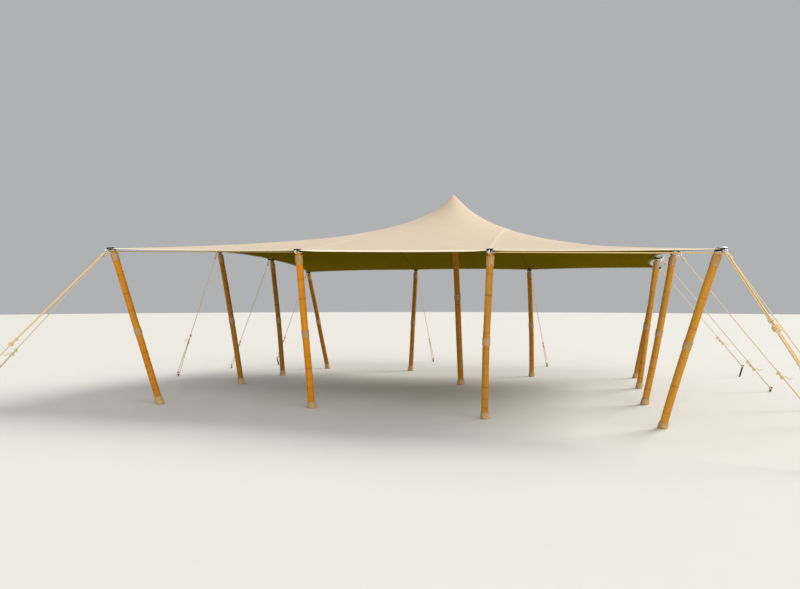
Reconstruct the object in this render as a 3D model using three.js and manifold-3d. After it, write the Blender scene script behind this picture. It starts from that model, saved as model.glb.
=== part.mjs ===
// A stretch tent: one elastic sheet with a scalloped edge, pushed up by a centre pole and held
// out by poles that lean outwards all round, each pulled back to a ground stake by a guy rope.
// Millimetres, +Z up. The origin is the middle of the centre pole's foot, on the ground.
// The front edge runs along X and faces -Y.

import * as THREE from 'three';
import { mergeVertices } from 'three/addons/utils/BufferGeometryUtils.js';
import Module from 'manifold-3d';

const wasm = await Module();
wasm.setup();

// Clearance between pieces that touch, and how near two points of a seam count as one
const GAP = 0.3;
const SEAM_TOLERANCE = 1e-3;

// Sheet: where its tip stands, its thickness, and how its edge runs from pole to pole. The lift
// is the height of the edge over the top of a pole that states none of its own.
const PEAK = new THREE.Vector3(-140, 0, 3565);
const SHEET_THICKNESS = 6;
const EDGE_BOW = 0.08;
const EDGE_RISE = 12;
const EDGE_LIFT = 42;
const EDGE_OUT = 20;

// Slope of the sheet: radius of its rounded tip, and the softness of its slope there for a
// reach of one metre from tip to edge, which a longer reach divides by its power
const TIP_RADIUS = 50;
const TIP_SOFTNESS = 1450;
const SOFTNESS_POWER = 1.15;
const INNER_RADIUS = 3000;

// Grid of the sheet
const BAY_STEPS = 4;
const RINGS = 12;
const RING_POWER = 1.9;

// Webbing hem along the edge of the sheet, thinner beyond a share of its width
const HEM_WIDTH = 34;
const HEM_THICKNESS = 12;
const HEM_DROP = 4;
const HEM_MITRE_MAX = 40;
const HEM_SHOULDER = 0.75;

// Tight edge strap under the outer bays of the front, from a corner pole to the next clamp.
// Its height at each end is over the top of the pole there.
const STRAP_RADIUS = 9;
const STRAP_SIDES = 6;
const STRAP_AT_CORNER = -12;
const STRAP_AT_CLAMP = 12;

// Poles of varnished bamboo, with a boot at the foot, a sleeve at the joint and a band at the top
const POLE_SIDES = 8;
const POLE_RADIUS = 49;
const SHOULDER_RADIUS = 47;
const NECK_RADIUS = 35;
const NECK_LENGTH = 22;
const BOOT_RADIUS = 62;
const BOOT_HEIGHT = 110;
const SLEEVE_RADIUS = 56;
const SLEEVE_HEIGHT = 105;
const SLEEVE_PLACE = 0.48;
const BAND_HEIGHT = 120;
const BAND_FROM_TOP = 50;
const BURIED = 90;
const SLAB_WIDTH = 40000;

// Clamp on each edge pole: a round seat on the pole and two jaws round the hem
const SEAT_RADIUS = 58;
const SEAT_SIDES = 8;
const JAW_REACH = 90;
const JAW_BACK = -30;
const JAW_WIDTH = 84;
const JAW_TOP = 20;
const JAW_BOTTOM = 14;
const JAW_CORE = 64;

// Shackle ring and the eye of the rope that hangs in it. The ring sits on the clamp at a drop
// under the middle of the hem and an inset from the rim of the jaws.
const RING_RADIUS = 24;
const RING_BAR = 6;
const RING_SEAT = 3;
const RING_INSET = 12;
const RING_DROP = 22;
const EYE_RADIUS = 22;
const EYE_SEAT = 2;
const LINK_STEPS = 6;
const LINK_SIDES = 4;

// Cap between the centre pole and the tip of the sheet
const CAP_RINGS = 2;
const CAP_SKIRT = 45;
const CAP_SIDES = 12;

// Guy ropes, single from the clamp to the knot and double from the knot to the stake
const ROPE_SIDES = 4;
const ROPE_RADIUS = 7;
const THICK_ROPE_RADIUS = 11;
const KNOT_LENGTH = 90;
const KNOT_RADIUS = 24;
const KNOT_END_RADIUS = 14;
const KNOT_END_LENGTH = 27;

// Ground stakes, leaning away from the tent, and how far the rope's loop sits under their top
const STAKE_RADIUS = 16;
const STAKE_HEAD_RADIUS = 21;
const STAKE_HEAD_HEIGHT = 14;
const STAKE_LEAN = 17;
const STAKE_LENGTH = 85;
const LOOP_DROP = 35;

// Edge poles, counter-clockwise from the front left corner: foot on the ground and head.
// Each rope has the place of its stake and the share of its length at which the knot sits.
// The second rope of a corner leaves the side of the clamp. Two stakes stand taller than the rest.
const EDGE_POLES = [
  {
    name: 'front_left', foot: [-4005, -3510], head: [-4530, -3920, 2330], lift: 30,
    ropes: [
      { name: 'front_left_corner', stake: [-6070, -5380], knot: 0.59, thick: true },
      { name: 'front_left_side', stake: [-6835, -4295], knot: 0.68, fromSide: true },
    ],
  },
  { name: 'front_mid_left', foot: [-1620, -3210], head: [-1620, -3680, 2255], lift: 37, ropes: [] },
  { name: 'front_mid_right', foot: [960, -3370], head: [1105, -3805, 2190], lift: 37, ropes: [] },
  {
    name: 'front_right', foot: [3180, -3400], head: [3730, -3930, 2140], lift: 37,
    ropes: [
      { name: 'front_right_corner', stake: [4730, -5240], knot: 0.395, thick: true },
      { name: 'front_right_side', stake: [5550, -2290], knot: 0.72, fromSide: true },
    ],
  },
  {
    name: 'right_front', foot: [3120, -1520], head: [3535, -1510, 2270],
    ropes: [{ name: 'right_front', stake: [5315, -1460], knot: 0.81 }],
  },
  {
    name: 'right_back', foot: [3175, 370], head: [3485, 375, 2310],
    ropes: [{ name: 'right_back', stake: [5330, 555], knot: 0.85 }],
  },
  {
    name: 'back_right', foot: [3225, 1965], head: [3690, 2455, 2220],
    ropes: [{ name: 'back_right', stake: [5310, 2815], knot: 0.76, standing: 250 }],
  },
  {
    name: 'back_mid_right', foot: [1175, 1645], head: [1095, 2030, 2200],
    ropes: [{ name: 'back_mid_right', stake: [1360, 3790], knot: 0.78 }],
  },
  {
    name: 'back_mid_left', foot: [-1535, 2050], head: [-1515, 2440, 2250],
    ropes: [{ name: 'back_mid_left', stake: [-1520, 4200], knot: 0.78 }],
  },
  {
    name: 'back_left', foot: [-3495, 1945], head: [-4045, 2095, 2210],
    ropes: [{ name: 'back_left', stake: [-4940, 2340], knot: 0.78, standing: 195 }],
  },
  {
    name: 'left_back', foot: [-3875, 405], head: [-4130, 405, 2410],
    ropes: [{ name: 'left_back', stake: [-5680, 1410], knot: 0.78 }],
  },
  {
    name: 'left_front', foot: [-4020, -1050], head: [-4480, -1055, 2480],
    ropes: [{ name: 'left_front', stake: [-5925, -290], knot: 0.7 }],
  },
];
const SIDES = [
  { name: 'hem_front', from: 0, bays: 3 },
  { name: 'hem_right', from: 3, bays: 3 },
  { name: 'hem_back', from: 6, bays: 3 },
  { name: 'hem_left', from: 9, bays: 3 },
];
const STRAPS = [
  { name: 'strap_front_left', corner: 0, clamp: 1 },
  { name: 'strap_front_right', corner: 3, clamp: 2 },
];

// Finishes
const MATERIALS = {
  sheet: new THREE.MeshStandardMaterial({ color: 0xe6d3b2, roughness: 0.85, metalness: 0 }),
  webbing: new THREE.MeshStandardMaterial({ color: 0xd9c7a2, roughness: 0.9, metalness: 0 }),
  bamboo: new THREE.MeshStandardMaterial({ color: 0xb8701f, roughness: 0.35, metalness: 0 }),
  clamp: new THREE.MeshStandardMaterial({ color: 0x1c1c1c, roughness: 0.6, metalness: 0.2 }),
  rope: new THREE.MeshStandardMaterial({ color: 0xdccaa3, roughness: 0.95, metalness: 0 }),
  stake: new THREE.MeshStandardMaterial({ color: 0x2a221c, roughness: 0.6, metalness: 0.7 }),
};

const UP = new THREE.Vector3(0, 0, 1);

// A geometry closed at its seams, a solid from a closed geometry, and a geometry from a solid

function closed(geometry) {
  geometry.deleteAttribute('normal');
  geometry.deleteAttribute('uv');
  return mergeVertices(geometry, SEAM_TOLERANCE);
}

function toSolid(geometry) {
  return new wasm.Manifold(new wasm.Mesh({
    numProp: 3,
    vertProperties: new Float32Array(geometry.attributes.position.array),
    triVerts: new Uint32Array(geometry.index.array),
  }));
}

function toGeometry(solid) {
  const mesh = solid.getMesh();
  const geometry = new THREE.BufferGeometry();
  geometry.setAttribute('position', new THREE.BufferAttribute(mesh.vertProperties, 3));
  geometry.setIndex(new THREE.BufferAttribute(mesh.triVerts, 1));
  geometry.computeVertexNormals();
  return geometry;
}

function joined(geometries) {
  return geometries.map(toSolid).reduce((sum, solid) => sum.add(solid));
}

function indexedGeometry(points, triangles) {
  const geometry = new THREE.BufferGeometry();
  geometry.setFromPoints(points);
  geometry.setIndex(triangles);
  return geometry;
}

// Places in the plan

function flat(v) {
  return new THREE.Vector3(v.x, v.y, 0);
}

function outwardOf(from, to) {
  const along = flat(to).sub(flat(from)).normalize();
  return new THREE.Vector3(along.y, -along.x, 0);
}

const feet = EDGE_POLES.map((pole) => new THREE.Vector3(...pole.foot, 0));
const heads = EDGE_POLES.map((pole) => new THREE.Vector3(...pole.head));
const lifts = EDGE_POLES.map((pole) => pole.lift ?? EDGE_LIFT);
const poleOutwards = heads.map((head, i) => {
  const before = heads[(i + heads.length - 1) % heads.length];
  const after = heads[(i + 1) % heads.length];
  return outwardOf(before, head).add(outwardOf(head, after)).normalize();
});
const corners = heads.map((head, i) => {
  return head.clone().addScaledVector(poleOutwards[i], EDGE_OUT).addScaledVector(UP, lifts[i]);
});

// Edge of the sheet: from corner to corner it bows inwards and rises a little

function edgePoint(bay, s) {
  const from = corners[bay % corners.length];
  const to = corners[(bay + 1) % corners.length];
  const bow = 4 * s * (1 - s);
  const span = flat(to).distanceTo(flat(from));
  return from.clone().lerp(to, s)
    .addScaledVector(outwardOf(from, to), -EDGE_BOW * span * bow)
    .addScaledVector(UP, EDGE_RISE * bow);
}

const edge = corners.flatMap((_, bay) => {
  return Array.from({ length: BAY_STEPS }, (_, step) => edgePoint(bay, step / BAY_STEPS));
});

// Outward direction at each edge point, and how much longer a mitred offset is there
const mitres = edge.map((point, i) => {
  const before = edge[(i + edge.length - 1) % edge.length];
  const after = edge[(i + 1) % edge.length];
  const first = outwardOf(before, point);
  const direction = first.clone().add(outwardOf(point, after)).normalize();
  return { direction, stretch: 1 / direction.dot(first) };
});

// Middle surface of the sheet: rings are round at the tip and grow into the outline of the
// edge, and the height falls from the tip as the logarithm of the distance from it.

function sheetPoint(ray, t) {
  const rim = edge[ray];
  const reach = flat(rim).distanceTo(flat(PEAK));
  const radius = t * (INNER_RADIUS + (reach - INNER_RADIUS) * t);
  const softness = TIP_SOFTNESS / Math.pow(reach / 1000, SOFTNESS_POWER);
  const soft = (r) => Math.hypot(r, TIP_RADIUS) + softness;
  const fall = Math.log(soft(reach) / soft(radius)) / Math.log(soft(reach) / soft(0));
  const point = PEAK.clone().lerp(rim, radius / reach);
  point.z = rim.z + (PEAK.z - rim.z) * fall;
  return point;
}

const ringPlaces = Array.from({ length: RINGS }, (_, j) => Math.pow((j + 1) / RINGS, RING_POWER));

// The sheet as a closed shell that reaches half above and half below its middle surface

function sheetGeometry(half) {
  const rays = edge.length;
  const points = [];
  for (const side of [1, -1]) {
    points.push(PEAK.clone().addScaledVector(UP, side * half));
    for (const t of ringPlaces) {
      for (let ray = 0; ray < rays; ray++) {
        points.push(sheetPoint(ray, t).addScaledVector(UP, side * half));
      }
    }
  }
  const layer = points.length / 2;
  const at = (side, ring, ray) => side * layer + 1 + ring * rays + (ray % rays);
  const triangles = [];
  const quad = (a, b, c, d) => triangles.push(a, b, c, a, c, d);
  for (let ray = 0; ray < rays; ray++) {
    triangles.push(0, at(0, 0, ray), at(0, 0, ray + 1));
    triangles.push(layer, at(1, 0, ray + 1), at(1, 0, ray));
    for (let ring = 0; ring + 1 < RINGS; ring++) {
      quad(at(0, ring, ray), at(0, ring + 1, ray), at(0, ring + 1, ray + 1), at(0, ring, ray + 1));
      quad(at(1, ring, ray), at(1, ring, ray + 1), at(1, ring + 1, ray + 1), at(1, ring + 1, ray));
    }
    const rim = RINGS - 1;
    quad(at(0, rim, ray), at(1, rim, ray), at(1, rim, ray + 1), at(0, rim, ray + 1));
  }
  return indexedGeometry(points, triangles);
}

// The hem of one side: a flattened band carried along the edge, grown by a clearance where
// it serves to cut the clamps

function hemGeometry(side, grow = 0) {
  const half = HEM_THICKNESS / 2;
  const section = [
    [GAP - grow, 1 - half - grow],
    [HEM_WIDTH * HEM_SHOULDER, -half - grow],
    [HEM_WIDTH + grow, -half / 2 - grow],
    [HEM_WIDTH + grow, half / 2 + grow],
    [HEM_WIDTH * HEM_SHOULDER, half + grow],
    [GAP - grow, half - 1 + grow],
  ];
  const steps = side.bays * BAY_STEPS;
  const points = [];
  for (let step = 0; step <= steps; step++) {
    const i = (side.from * BAY_STEPS + step) % edge.length;
    const { direction, stretch } = mitres[i];
    const next = edge[(i + 1) % edge.length];
    const last = edge[(i + edge.length - 1) % edge.length];
    const along = step === 0 ? flat(next).sub(flat(edge[i])) : flat(edge[i]).sub(flat(last));
    const inwards = (GAP - grow) * stretch;
    const shift = step === 0 ? inwards : step === steps ? -inwards : 0;
    along.normalize();
    for (const [out, up] of section) {
      const reach = out > HEM_WIDTH / 2 ? Math.min(out * stretch, HEM_MITRE_MAX + grow) : out * stretch;
      points.push(edge[i].clone()
        .addScaledVector(direction, reach)
        .addScaledVector(along, shift)
        .addScaledVector(UP, up - HEM_DROP * out / HEM_WIDTH));
    }
  }
  const n = section.length;
  const triangles = [];
  for (let step = 0; step < steps; step++) {
    for (let k = 0; k < n; k++) {
      const a = step * n + k;
      const b = step * n + (k + 1) % n;
      triangles.push(a, b + n, b, a, a + n, b + n);
    }
  }
  for (let k = 1; k + 1 < n; k++) {
    triangles.push(0, k, k + 1);
    triangles.push(steps * n, steps * n + k + 1, steps * n + k);
  }
  return indexedGeometry(points, triangles);
}

// A turned shape about Z, with a corner on the X axis, and one about the line from a point in
// a direction, from pairs of radius and height

function lathed(profile, sides) {
  const outline = profile.map(([r, h]) => new THREE.Vector2(r, h));
  const geometry = closed(new THREE.LatheGeometry(outline, sides));
  geometry.rotateX(Math.PI / 2);
  geometry.rotateZ(Math.PI / 2);
  return geometry;
}

function turned(profile, sides, from, direction) {
  const geometry = lathed(profile, sides);
  geometry.applyQuaternion(new THREE.Quaternion().setFromUnitVectors(UP, direction));
  geometry.translate(from.x, from.y, from.z);
  return geometry;
}

function bar(from, to, radius, sides) {
  const direction = to.clone().sub(from);
  const length = direction.length();
  const profile = [[0, 0], [radius, 0], [radius, length], [0, length]];
  return turned(profile, sides, from, direction.normalize());
}

// A ring whose axis is given. Its first vertex points along start.

function ringGeometry(centre, axis, start, radius, barRadius) {
  const geometry = closed(new THREE.TorusGeometry(radius, barRadius, LINK_SIDES, LINK_STEPS));
  const third = axis.clone().cross(start);
  geometry.applyMatrix4(new THREE.Matrix4().makeBasis(start, third, axis));
  geometry.translate(centre.x, centre.y, centre.z);
  return geometry;
}

// A slab from the ground to a height, wide enough to hold any leaning piece

function slabTo(height) {
  const geometry = closed(new THREE.BoxGeometry(SLAB_WIDTH, SLAB_WIDTH, height));
  geometry.translate(0, 0, height / 2);
  return toSolid(geometry);
}

// A pole from its foot to its head, with a shoulder and a neck of given radii above its band.
// Its foot is cut level with the ground and its top level.

function poleSolid(foot, head, shoulder, neck, grow = 0) {
  const direction = head.clone().sub(foot);
  const length = direction.length();
  direction.normalize();
  const sleeve = length * SLEEVE_PLACE;
  const bandTop = length - BAND_FROM_TOP;
  const bandBottom = bandTop - BAND_HEIGHT;
  const profile = [
    [0, -BURIED],
    [BOOT_RADIUS, -BURIED],
    [BOOT_RADIUS, BOOT_HEIGHT],
    [POLE_RADIUS, BOOT_HEIGHT],
    [POLE_RADIUS, sleeve - SLEEVE_HEIGHT / 2],
    [SLEEVE_RADIUS, sleeve - SLEEVE_HEIGHT / 2],
    [SLEEVE_RADIUS, sleeve + SLEEVE_HEIGHT / 2],
    [POLE_RADIUS, sleeve + SLEEVE_HEIGHT / 2],
    [POLE_RADIUS, bandBottom],
    [SLEEVE_RADIUS, bandBottom],
    [SLEEVE_RADIUS, bandTop],
    [shoulder, bandTop],
    [neck, length - NECK_LENGTH],
    [neck, length + BURIED],
    [0, length + BURIED],
  ];
  const outline = profile.map(([r, h]) => [r === 0 ? 0 : r + grow, h]);
  const solid = toSolid(turned(outline, POLE_SIDES, foot, direction));
  return solid.intersect(slabTo(head.z));
}

function edgePoleSolid(i, grow) {
  return poleSolid(feet[i], heads[i], SHOULDER_RADIUS, NECK_RADIUS, grow);
}

// Cutter for the clamps: the sheet and its hem with their clearance
const cutter = SIDES.map((side) => toSolid(hemGeometry(side, 2 * GAP)))
  .reduce((sum, hem) => sum.add(hem), toSolid(sheetGeometry(SHEET_THICKNESS / 2 + GAP)));

// Frame of a clamp: its origin on top of the pole, out over the hem, and side along the hem

function clampPoint(i, out, side, up) {
  const outward = poleOutwards[i];
  return heads[i].clone()
    .addScaledVector(outward, out)
    .addScaledVector(new THREE.Vector3(-outward.y, outward.x, 0), side)
    .addScaledVector(UP, up);
}

// Place under the rim of the jaws where a rope's ring sits, on the side that faces its stake

function ringSeat(i, rope) {
  const outward = poleOutwards[i];
  const sideways = new THREE.Vector3(-outward.y, outward.x, 0);
  const pull = new THREE.Vector3(...rope.stake, 0).sub(flat(heads[i])).normalize();
  const out = pull.dot(outward);
  const side = pull.dot(sideways);
  const half = JAW_WIDTH / 2 - RING_INSET;
  const forward = rope.fromSide ? 0 : JAW_REACH - JAW_CORE - RING_INSET;
  const reach = rope.fromSide ? half / Math.abs(side) : forward / out;
  return clampPoint(i, JAW_CORE + forward, side * reach, lifts[i] - RING_DROP);
}

// Everything along one rope: its ring on the clamp, its eye, its knot and its stake

function ropeLine(i, rope) {
  const seat = ringSeat(i, rope);
  const ground = new THREE.Vector3(...rope.stake, 0);
  const outward = ground.clone().sub(flat(seat)).normalize();
  const lean = THREE.MathUtils.degToRad(STAKE_LEAN);
  const stakeAxis = outward.clone().multiplyScalar(Math.sin(lean)).addScaledVector(UP, Math.cos(lean));
  const stakeLength = rope.standing ?? STAKE_LENGTH;
  const loop = ground.clone().addScaledVector(stakeAxis, stakeLength - LOOP_DROP);
  const pull = loop.clone().sub(seat).normalize();
  const sideways = new THREE.Vector3(-outward.y, outward.x, 0);
  const radius = rope.thick ? THICK_ROPE_RADIUS : ROPE_RADIUS;
  const ringCentre = seat.clone().addScaledVector(pull, RING_RADIUS - RING_SEAT);
  const eyeShift = RING_RADIUS + EYE_RADIUS - RING_BAR - ROPE_RADIUS - GAP;
  const eyeCentre = ringCentre.clone().addScaledVector(pull, eyeShift);
  const knot = eyeCentre.clone().lerp(loop, rope.knot);
  return { ground, stakeLength, stakeAxis, loop, pull, sideways, radius, ringCentre, eyeCentre, knot };
}

function seatGeometry(i, grow = 0) {
  const outward = poleOutwards[i];
  const radius = SEAT_RADIUS + grow;
  const bottom = GAP - grow;
  const top = lifts[i] + JAW_TOP + grow;
  const seat = lathed([[0, bottom], [radius, bottom], [radius, top], [0, top]], SEAT_SIDES);
  seat.rotateZ(Math.atan2(outward.y, outward.x));
  return seat.translate(heads[i].x, heads[i].y, heads[i].z);
}

function clampGeometry(i) {
  const outward = poleOutwards[i];
  const jaws = closed(new THREE.BoxGeometry(JAW_REACH - JAW_BACK, JAW_WIDTH, JAW_TOP + JAW_BOTTOM));
  jaws.translate((JAW_REACH + JAW_BACK) / 2, 0, lifts[i] + (JAW_TOP - JAW_BOTTOM) / 2 - HEM_DROP);
  jaws.rotateZ(Math.atan2(outward.y, outward.x));
  jaws.translate(heads[i].x, heads[i].y, heads[i].z);
  let solid = joined([seatGeometry(i), jaws]);
  for (const rope of EDGE_POLES[i].ropes) {
    const { ringCentre, pull, sideways } = ropeLine(i, rope);
    solid = solid.add(toSolid(ringGeometry(ringCentre, sideways, pull, RING_RADIUS, RING_BAR)));
  }
  return toGeometry(solid.subtract(cutter));
}

// A strap between two poles, cut clear of the corner pole and of the seat of the other's clamp

function strapGeometry({ corner, clamp }) {
  const from = heads[corner].clone().addScaledVector(UP, STRAP_AT_CORNER);
  const to = heads[clamp].clone().addScaledVector(UP, STRAP_AT_CLAMP);
  const cutAway = edgePoleSolid(corner, GAP).add(toSolid(seatGeometry(clamp, GAP)));
  return toGeometry(toSolid(bar(from, to, STRAP_RADIUS, STRAP_SIDES)).subtract(cutAway));
}

function guyGeometry(i, rope) {
  const { loop, pull, sideways, radius, eyeCentre, knot, stakeAxis } = ropeLine(i, rope);
  const eyeAxis = sideways.clone().cross(pull);
  const eyeEnd = eyeCentre.clone().addScaledVector(pull, EYE_RADIUS - EYE_SEAT);
  const loopRadius = STAKE_RADIUS + GAP + ROPE_RADIUS;
  const knotStart = knot.clone().addScaledVector(pull, -KNOT_LENGTH / 2);
  const knotProfile = [
    [0, 0],
    [KNOT_END_RADIUS, 0],
    [KNOT_RADIUS, KNOT_END_LENGTH],
    [KNOT_RADIUS, KNOT_LENGTH - KNOT_END_LENGTH],
    [KNOT_END_RADIUS, KNOT_LENGTH],
    [0, KNOT_LENGTH],
  ];
  const legs = [-1, 1].map((hand) => bar(
    knot.clone().addScaledVector(sideways, hand * ROPE_RADIUS),
    loop.clone().addScaledVector(sideways, hand * loopRadius),
    ROPE_RADIUS,
    ROPE_SIDES,
  ));
  return toGeometry(joined([
    ringGeometry(eyeCentre, eyeAxis, pull.clone().negate(), EYE_RADIUS, ROPE_RADIUS),
    bar(eyeEnd, knot, radius, ROPE_SIDES),
    turned(knotProfile, ROPE_SIDES, knotStart, pull),
    ...legs,
    ringGeometry(loop, stakeAxis, sideways, loopRadius, ROPE_RADIUS),
  ]));
}

function stakeGeometry(i, rope) {
  const { ground, stakeLength, stakeAxis, sideways } = ropeLine(i, rope);
  const neck = stakeLength - STAKE_HEAD_HEIGHT;
  const profile = [
    [0, -BURIED],
    [STAKE_RADIUS, -BURIED],
    [STAKE_RADIUS, neck],
    [STAKE_HEAD_RADIUS, neck],
    [STAKE_HEAD_RADIUS, stakeLength],
    [0, stakeLength],
  ];
  const geometry = lathed(profile, LINK_STEPS);
  const third = stakeAxis.clone().cross(sideways);
  geometry.applyMatrix4(new THREE.Matrix4().makeBasis(sideways, third, stakeAxis));
  geometry.translate(ground.x, ground.y, ground.z);
  return toGeometry(toSolid(geometry).intersect(slabTo(stakeLength)));
}

// Cap on the centre pole: its top follows the underside of the sheet round the tip

const capTop = [PEAK.z - SHEET_THICKNESS / 2 - GAP];
const capRadii = [0];
for (const t of ringPlaces.slice(0, CAP_RINGS)) {
  const under = edge.map((_, ray) => sheetPoint(ray, t));
  capRadii.push(Math.min(...under.map((point) => flat(point).distanceTo(flat(PEAK)))));
  capTop.push(Math.min(...under.map((point) => point.z)) - SHEET_THICKNESS / 2 - GAP);
}
const capBottom = capTop[CAP_RINGS] - CAP_SKIRT;

function capGeometry() {
  const rim = capRadii[CAP_RINGS];
  const profile = [[0, capBottom], [rim, capBottom]];
  for (let ring = CAP_RINGS; ring >= 0; ring--) {
    profile.push([capRadii[ring], capTop[ring]]);
  }
  return turned(profile, CAP_SIDES, flat(PEAK), UP);
}

// The tent

const tent = new THREE.Group();
tent.name = 'stretch_tent';

function put(name, geometry, material) {
  const mesh = new THREE.Mesh(geometry, material);
  mesh.name = name;
  tent.add(mesh);
}

put('canopy', sheetGeometry(SHEET_THICKNESS / 2), MATERIALS.sheet);
for (const side of SIDES) {
  put(side.name, hemGeometry(side), MATERIALS.webbing);
}

const capSeat = new THREE.Vector3(PEAK.x, PEAK.y, capBottom - GAP);
const centrePole = poleSolid(new THREE.Vector3(0, 0, 0), capSeat, POLE_RADIUS, POLE_RADIUS);
put('pole_centre', toGeometry(centrePole), MATERIALS.bamboo);
put('cap_centre', capGeometry(), MATERIALS.clamp);

for (const strap of STRAPS) {
  put(strap.name, strapGeometry(strap), MATERIALS.webbing);
}

EDGE_POLES.forEach((pole, i) => {
  put(`pole_${pole.name}`, toGeometry(edgePoleSolid(i)), MATERIALS.bamboo);
  put(`clamp_${pole.name}`, clampGeometry(i), MATERIALS.clamp);
  for (const rope of pole.ropes) {
    put(`guy_${rope.name}`, guyGeometry(i, rope), MATERIALS.rope);
    put(`stake_${rope.name}`, stakeGeometry(i, rope), MATERIALS.stake);
  }
});

export default tent;
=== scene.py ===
"""A stretch tent: one elastic sheet on a centre pole, held out by twelve bamboo edge poles.

Metres, in the frame of the packed part: +Z up, the front edge runs along X and faces -Y, and the
origin is the middle of the centre pole's foot, on the ground.
"""

import math
from functools import partial

import bpy
import numpy as np
from bpy.props import FloatProperty, FloatVectorProperty, PointerProperty
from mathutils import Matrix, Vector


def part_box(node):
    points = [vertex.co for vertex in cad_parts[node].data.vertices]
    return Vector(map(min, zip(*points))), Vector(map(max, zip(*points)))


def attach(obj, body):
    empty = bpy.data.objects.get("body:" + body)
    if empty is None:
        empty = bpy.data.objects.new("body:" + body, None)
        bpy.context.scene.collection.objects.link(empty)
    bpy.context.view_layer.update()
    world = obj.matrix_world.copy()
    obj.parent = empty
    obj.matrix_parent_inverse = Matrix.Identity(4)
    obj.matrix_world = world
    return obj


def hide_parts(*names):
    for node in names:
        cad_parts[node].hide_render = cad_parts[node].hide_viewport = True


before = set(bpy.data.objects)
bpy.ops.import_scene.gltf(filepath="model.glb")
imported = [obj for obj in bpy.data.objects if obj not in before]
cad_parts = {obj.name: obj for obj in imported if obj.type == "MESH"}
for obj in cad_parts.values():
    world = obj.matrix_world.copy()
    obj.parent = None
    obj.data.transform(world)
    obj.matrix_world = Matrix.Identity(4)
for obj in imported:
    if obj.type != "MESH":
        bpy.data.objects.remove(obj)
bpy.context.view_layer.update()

bl_info = {
    "name": "Stretch tent",
    "version": (1, 0, 0),
    "blender": (4, 5, 0),
    "location": "View3D > Sidebar > Tent",
    "description": "Builds the pieces of a stretch tent round its packed frame",
    "category": "Object",
}

# Layout of the tent: where the sheet's tip stands, and the radius of a pole

UP = np.array([0.0, 0.0, 1.0])
PEAK = np.array([-0.14, 0.0, 3.565])
POLE_RADIUS = 0.048

# Edge poles, counter-clockwise from the front left corner: name, foot, head and lift of the
# sheet's edge over the head. Then the looks of the culm: its tone from straw to amber, its
# brightness, which holds painted light (raised on the sunlit front and right poles, lowered as
# painted shade on the back and left poles), how far its middle bows sideways, its thickness
# against POLE_RADIUS and the height of its boot.
POLES = [
    ("front_left", (-4.005, -3.510), (-4.530, -3.920, 2.330), 0.030, 0.72, 0.95, 0.000, 1.03, 0.130),
    ("front_mid_left", (-1.620, -3.210), (-1.620, -3.680, 2.255), 0.037, 0.85, 1.08, 0.000, 1.02, 0.112),
    ("front_mid_right", (0.960, -3.370), (1.105, -3.805, 2.190), 0.037, 0.30, 0.95, -0.013, 0.97, 0.105),
    ("front_right", (3.180, -3.400), (3.730, -3.930, 2.140), 0.037, 0.28, 1.12, -0.017, 0.99, 0.090),
    ("right_front", (3.120, -1.520), (3.535, -1.510, 2.270), 0.042, 0.28, 1.05, 0.014, 1.03, 0.095),
    ("right_back", (3.175, 0.370), (3.485, 0.375, 2.310), 0.042, 0.34, 0.98, 0.000, 1.00, 0.105),
    ("back_right", (3.225, 1.965), (3.690, 2.455, 2.220), 0.042, 0.45, 0.80, 0.000, 1.00, 0.105),
    ("back_mid_right", (1.175, 1.645), (1.095, 2.030, 2.200), 0.042, 0.35, 0.92, 0.014, 1.02, 0.105),
    ("back_mid_left", (-1.535, 2.050), (-1.515, 2.440, 2.250), 0.042, 0.35, 0.80, 0.000, 1.02, 0.105),
    ("back_left", (-3.495, 1.945), (-4.045, 2.095, 2.210), 0.042, 0.60, 0.66, 0.000, 1.00, 0.105),
    ("left_back", (-3.875, 0.405), (-4.130, 0.405, 2.410), 0.042, 0.45, 0.66, 0.016, 1.02, 0.105),
    ("left_front", (-4.020, -1.050), (-4.480, -1.055, 2.480), 0.042, 0.55, 0.72, 0.014, 1.02, 0.105),
]
NAMES = [pole[0] for pole in POLES]
FEET = np.array([(*pole[1], 0.0) for pole in POLES])
HEADS = np.array([pole[2] for pole in POLES])
LIFTS = np.array([pole[3] for pole in POLES])
LOOKS = [pole[4:] for pole in POLES]
# The centre pole's brightness is lowered as painted shade.
CENTRE_LOOK = (0.65, 0.84, 0.000, 1.12, 0.105)

# Heights of the culm's rings on the poles nearest to the viewer, and how strongly each shows
RINGS = {
    "front_left": [(0.229, 0.6), (0.309, 0.4), (0.409, 0.8), (0.516, 0.5), (0.616, 0.9), (0.722, 0.5),
                   (0.827, 0.7), (0.952, 0.4), (1.488, 0.7), (1.751, 0.9), (2.055, 0.5)],
    "front_mid_left": [(0.180, 0.4), (0.318, 0.7), (0.446, 0.5), (0.615, 0.9), (0.793, 0.6),
                       (1.438, 0.3), (1.650, 0.8), (1.924, 0.6)],
    "front_right": [(0.218, 0.5), (0.586, 0.8), (0.961, 0.6), (1.333, 0.9), (1.716, 0.5)],
    "right_front": [(0.240, 0.5), (0.562, 0.8), (0.734, 0.5), (0.932, 0.6), (1.371, 0.9), (1.740, 0.5)],
}

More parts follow.
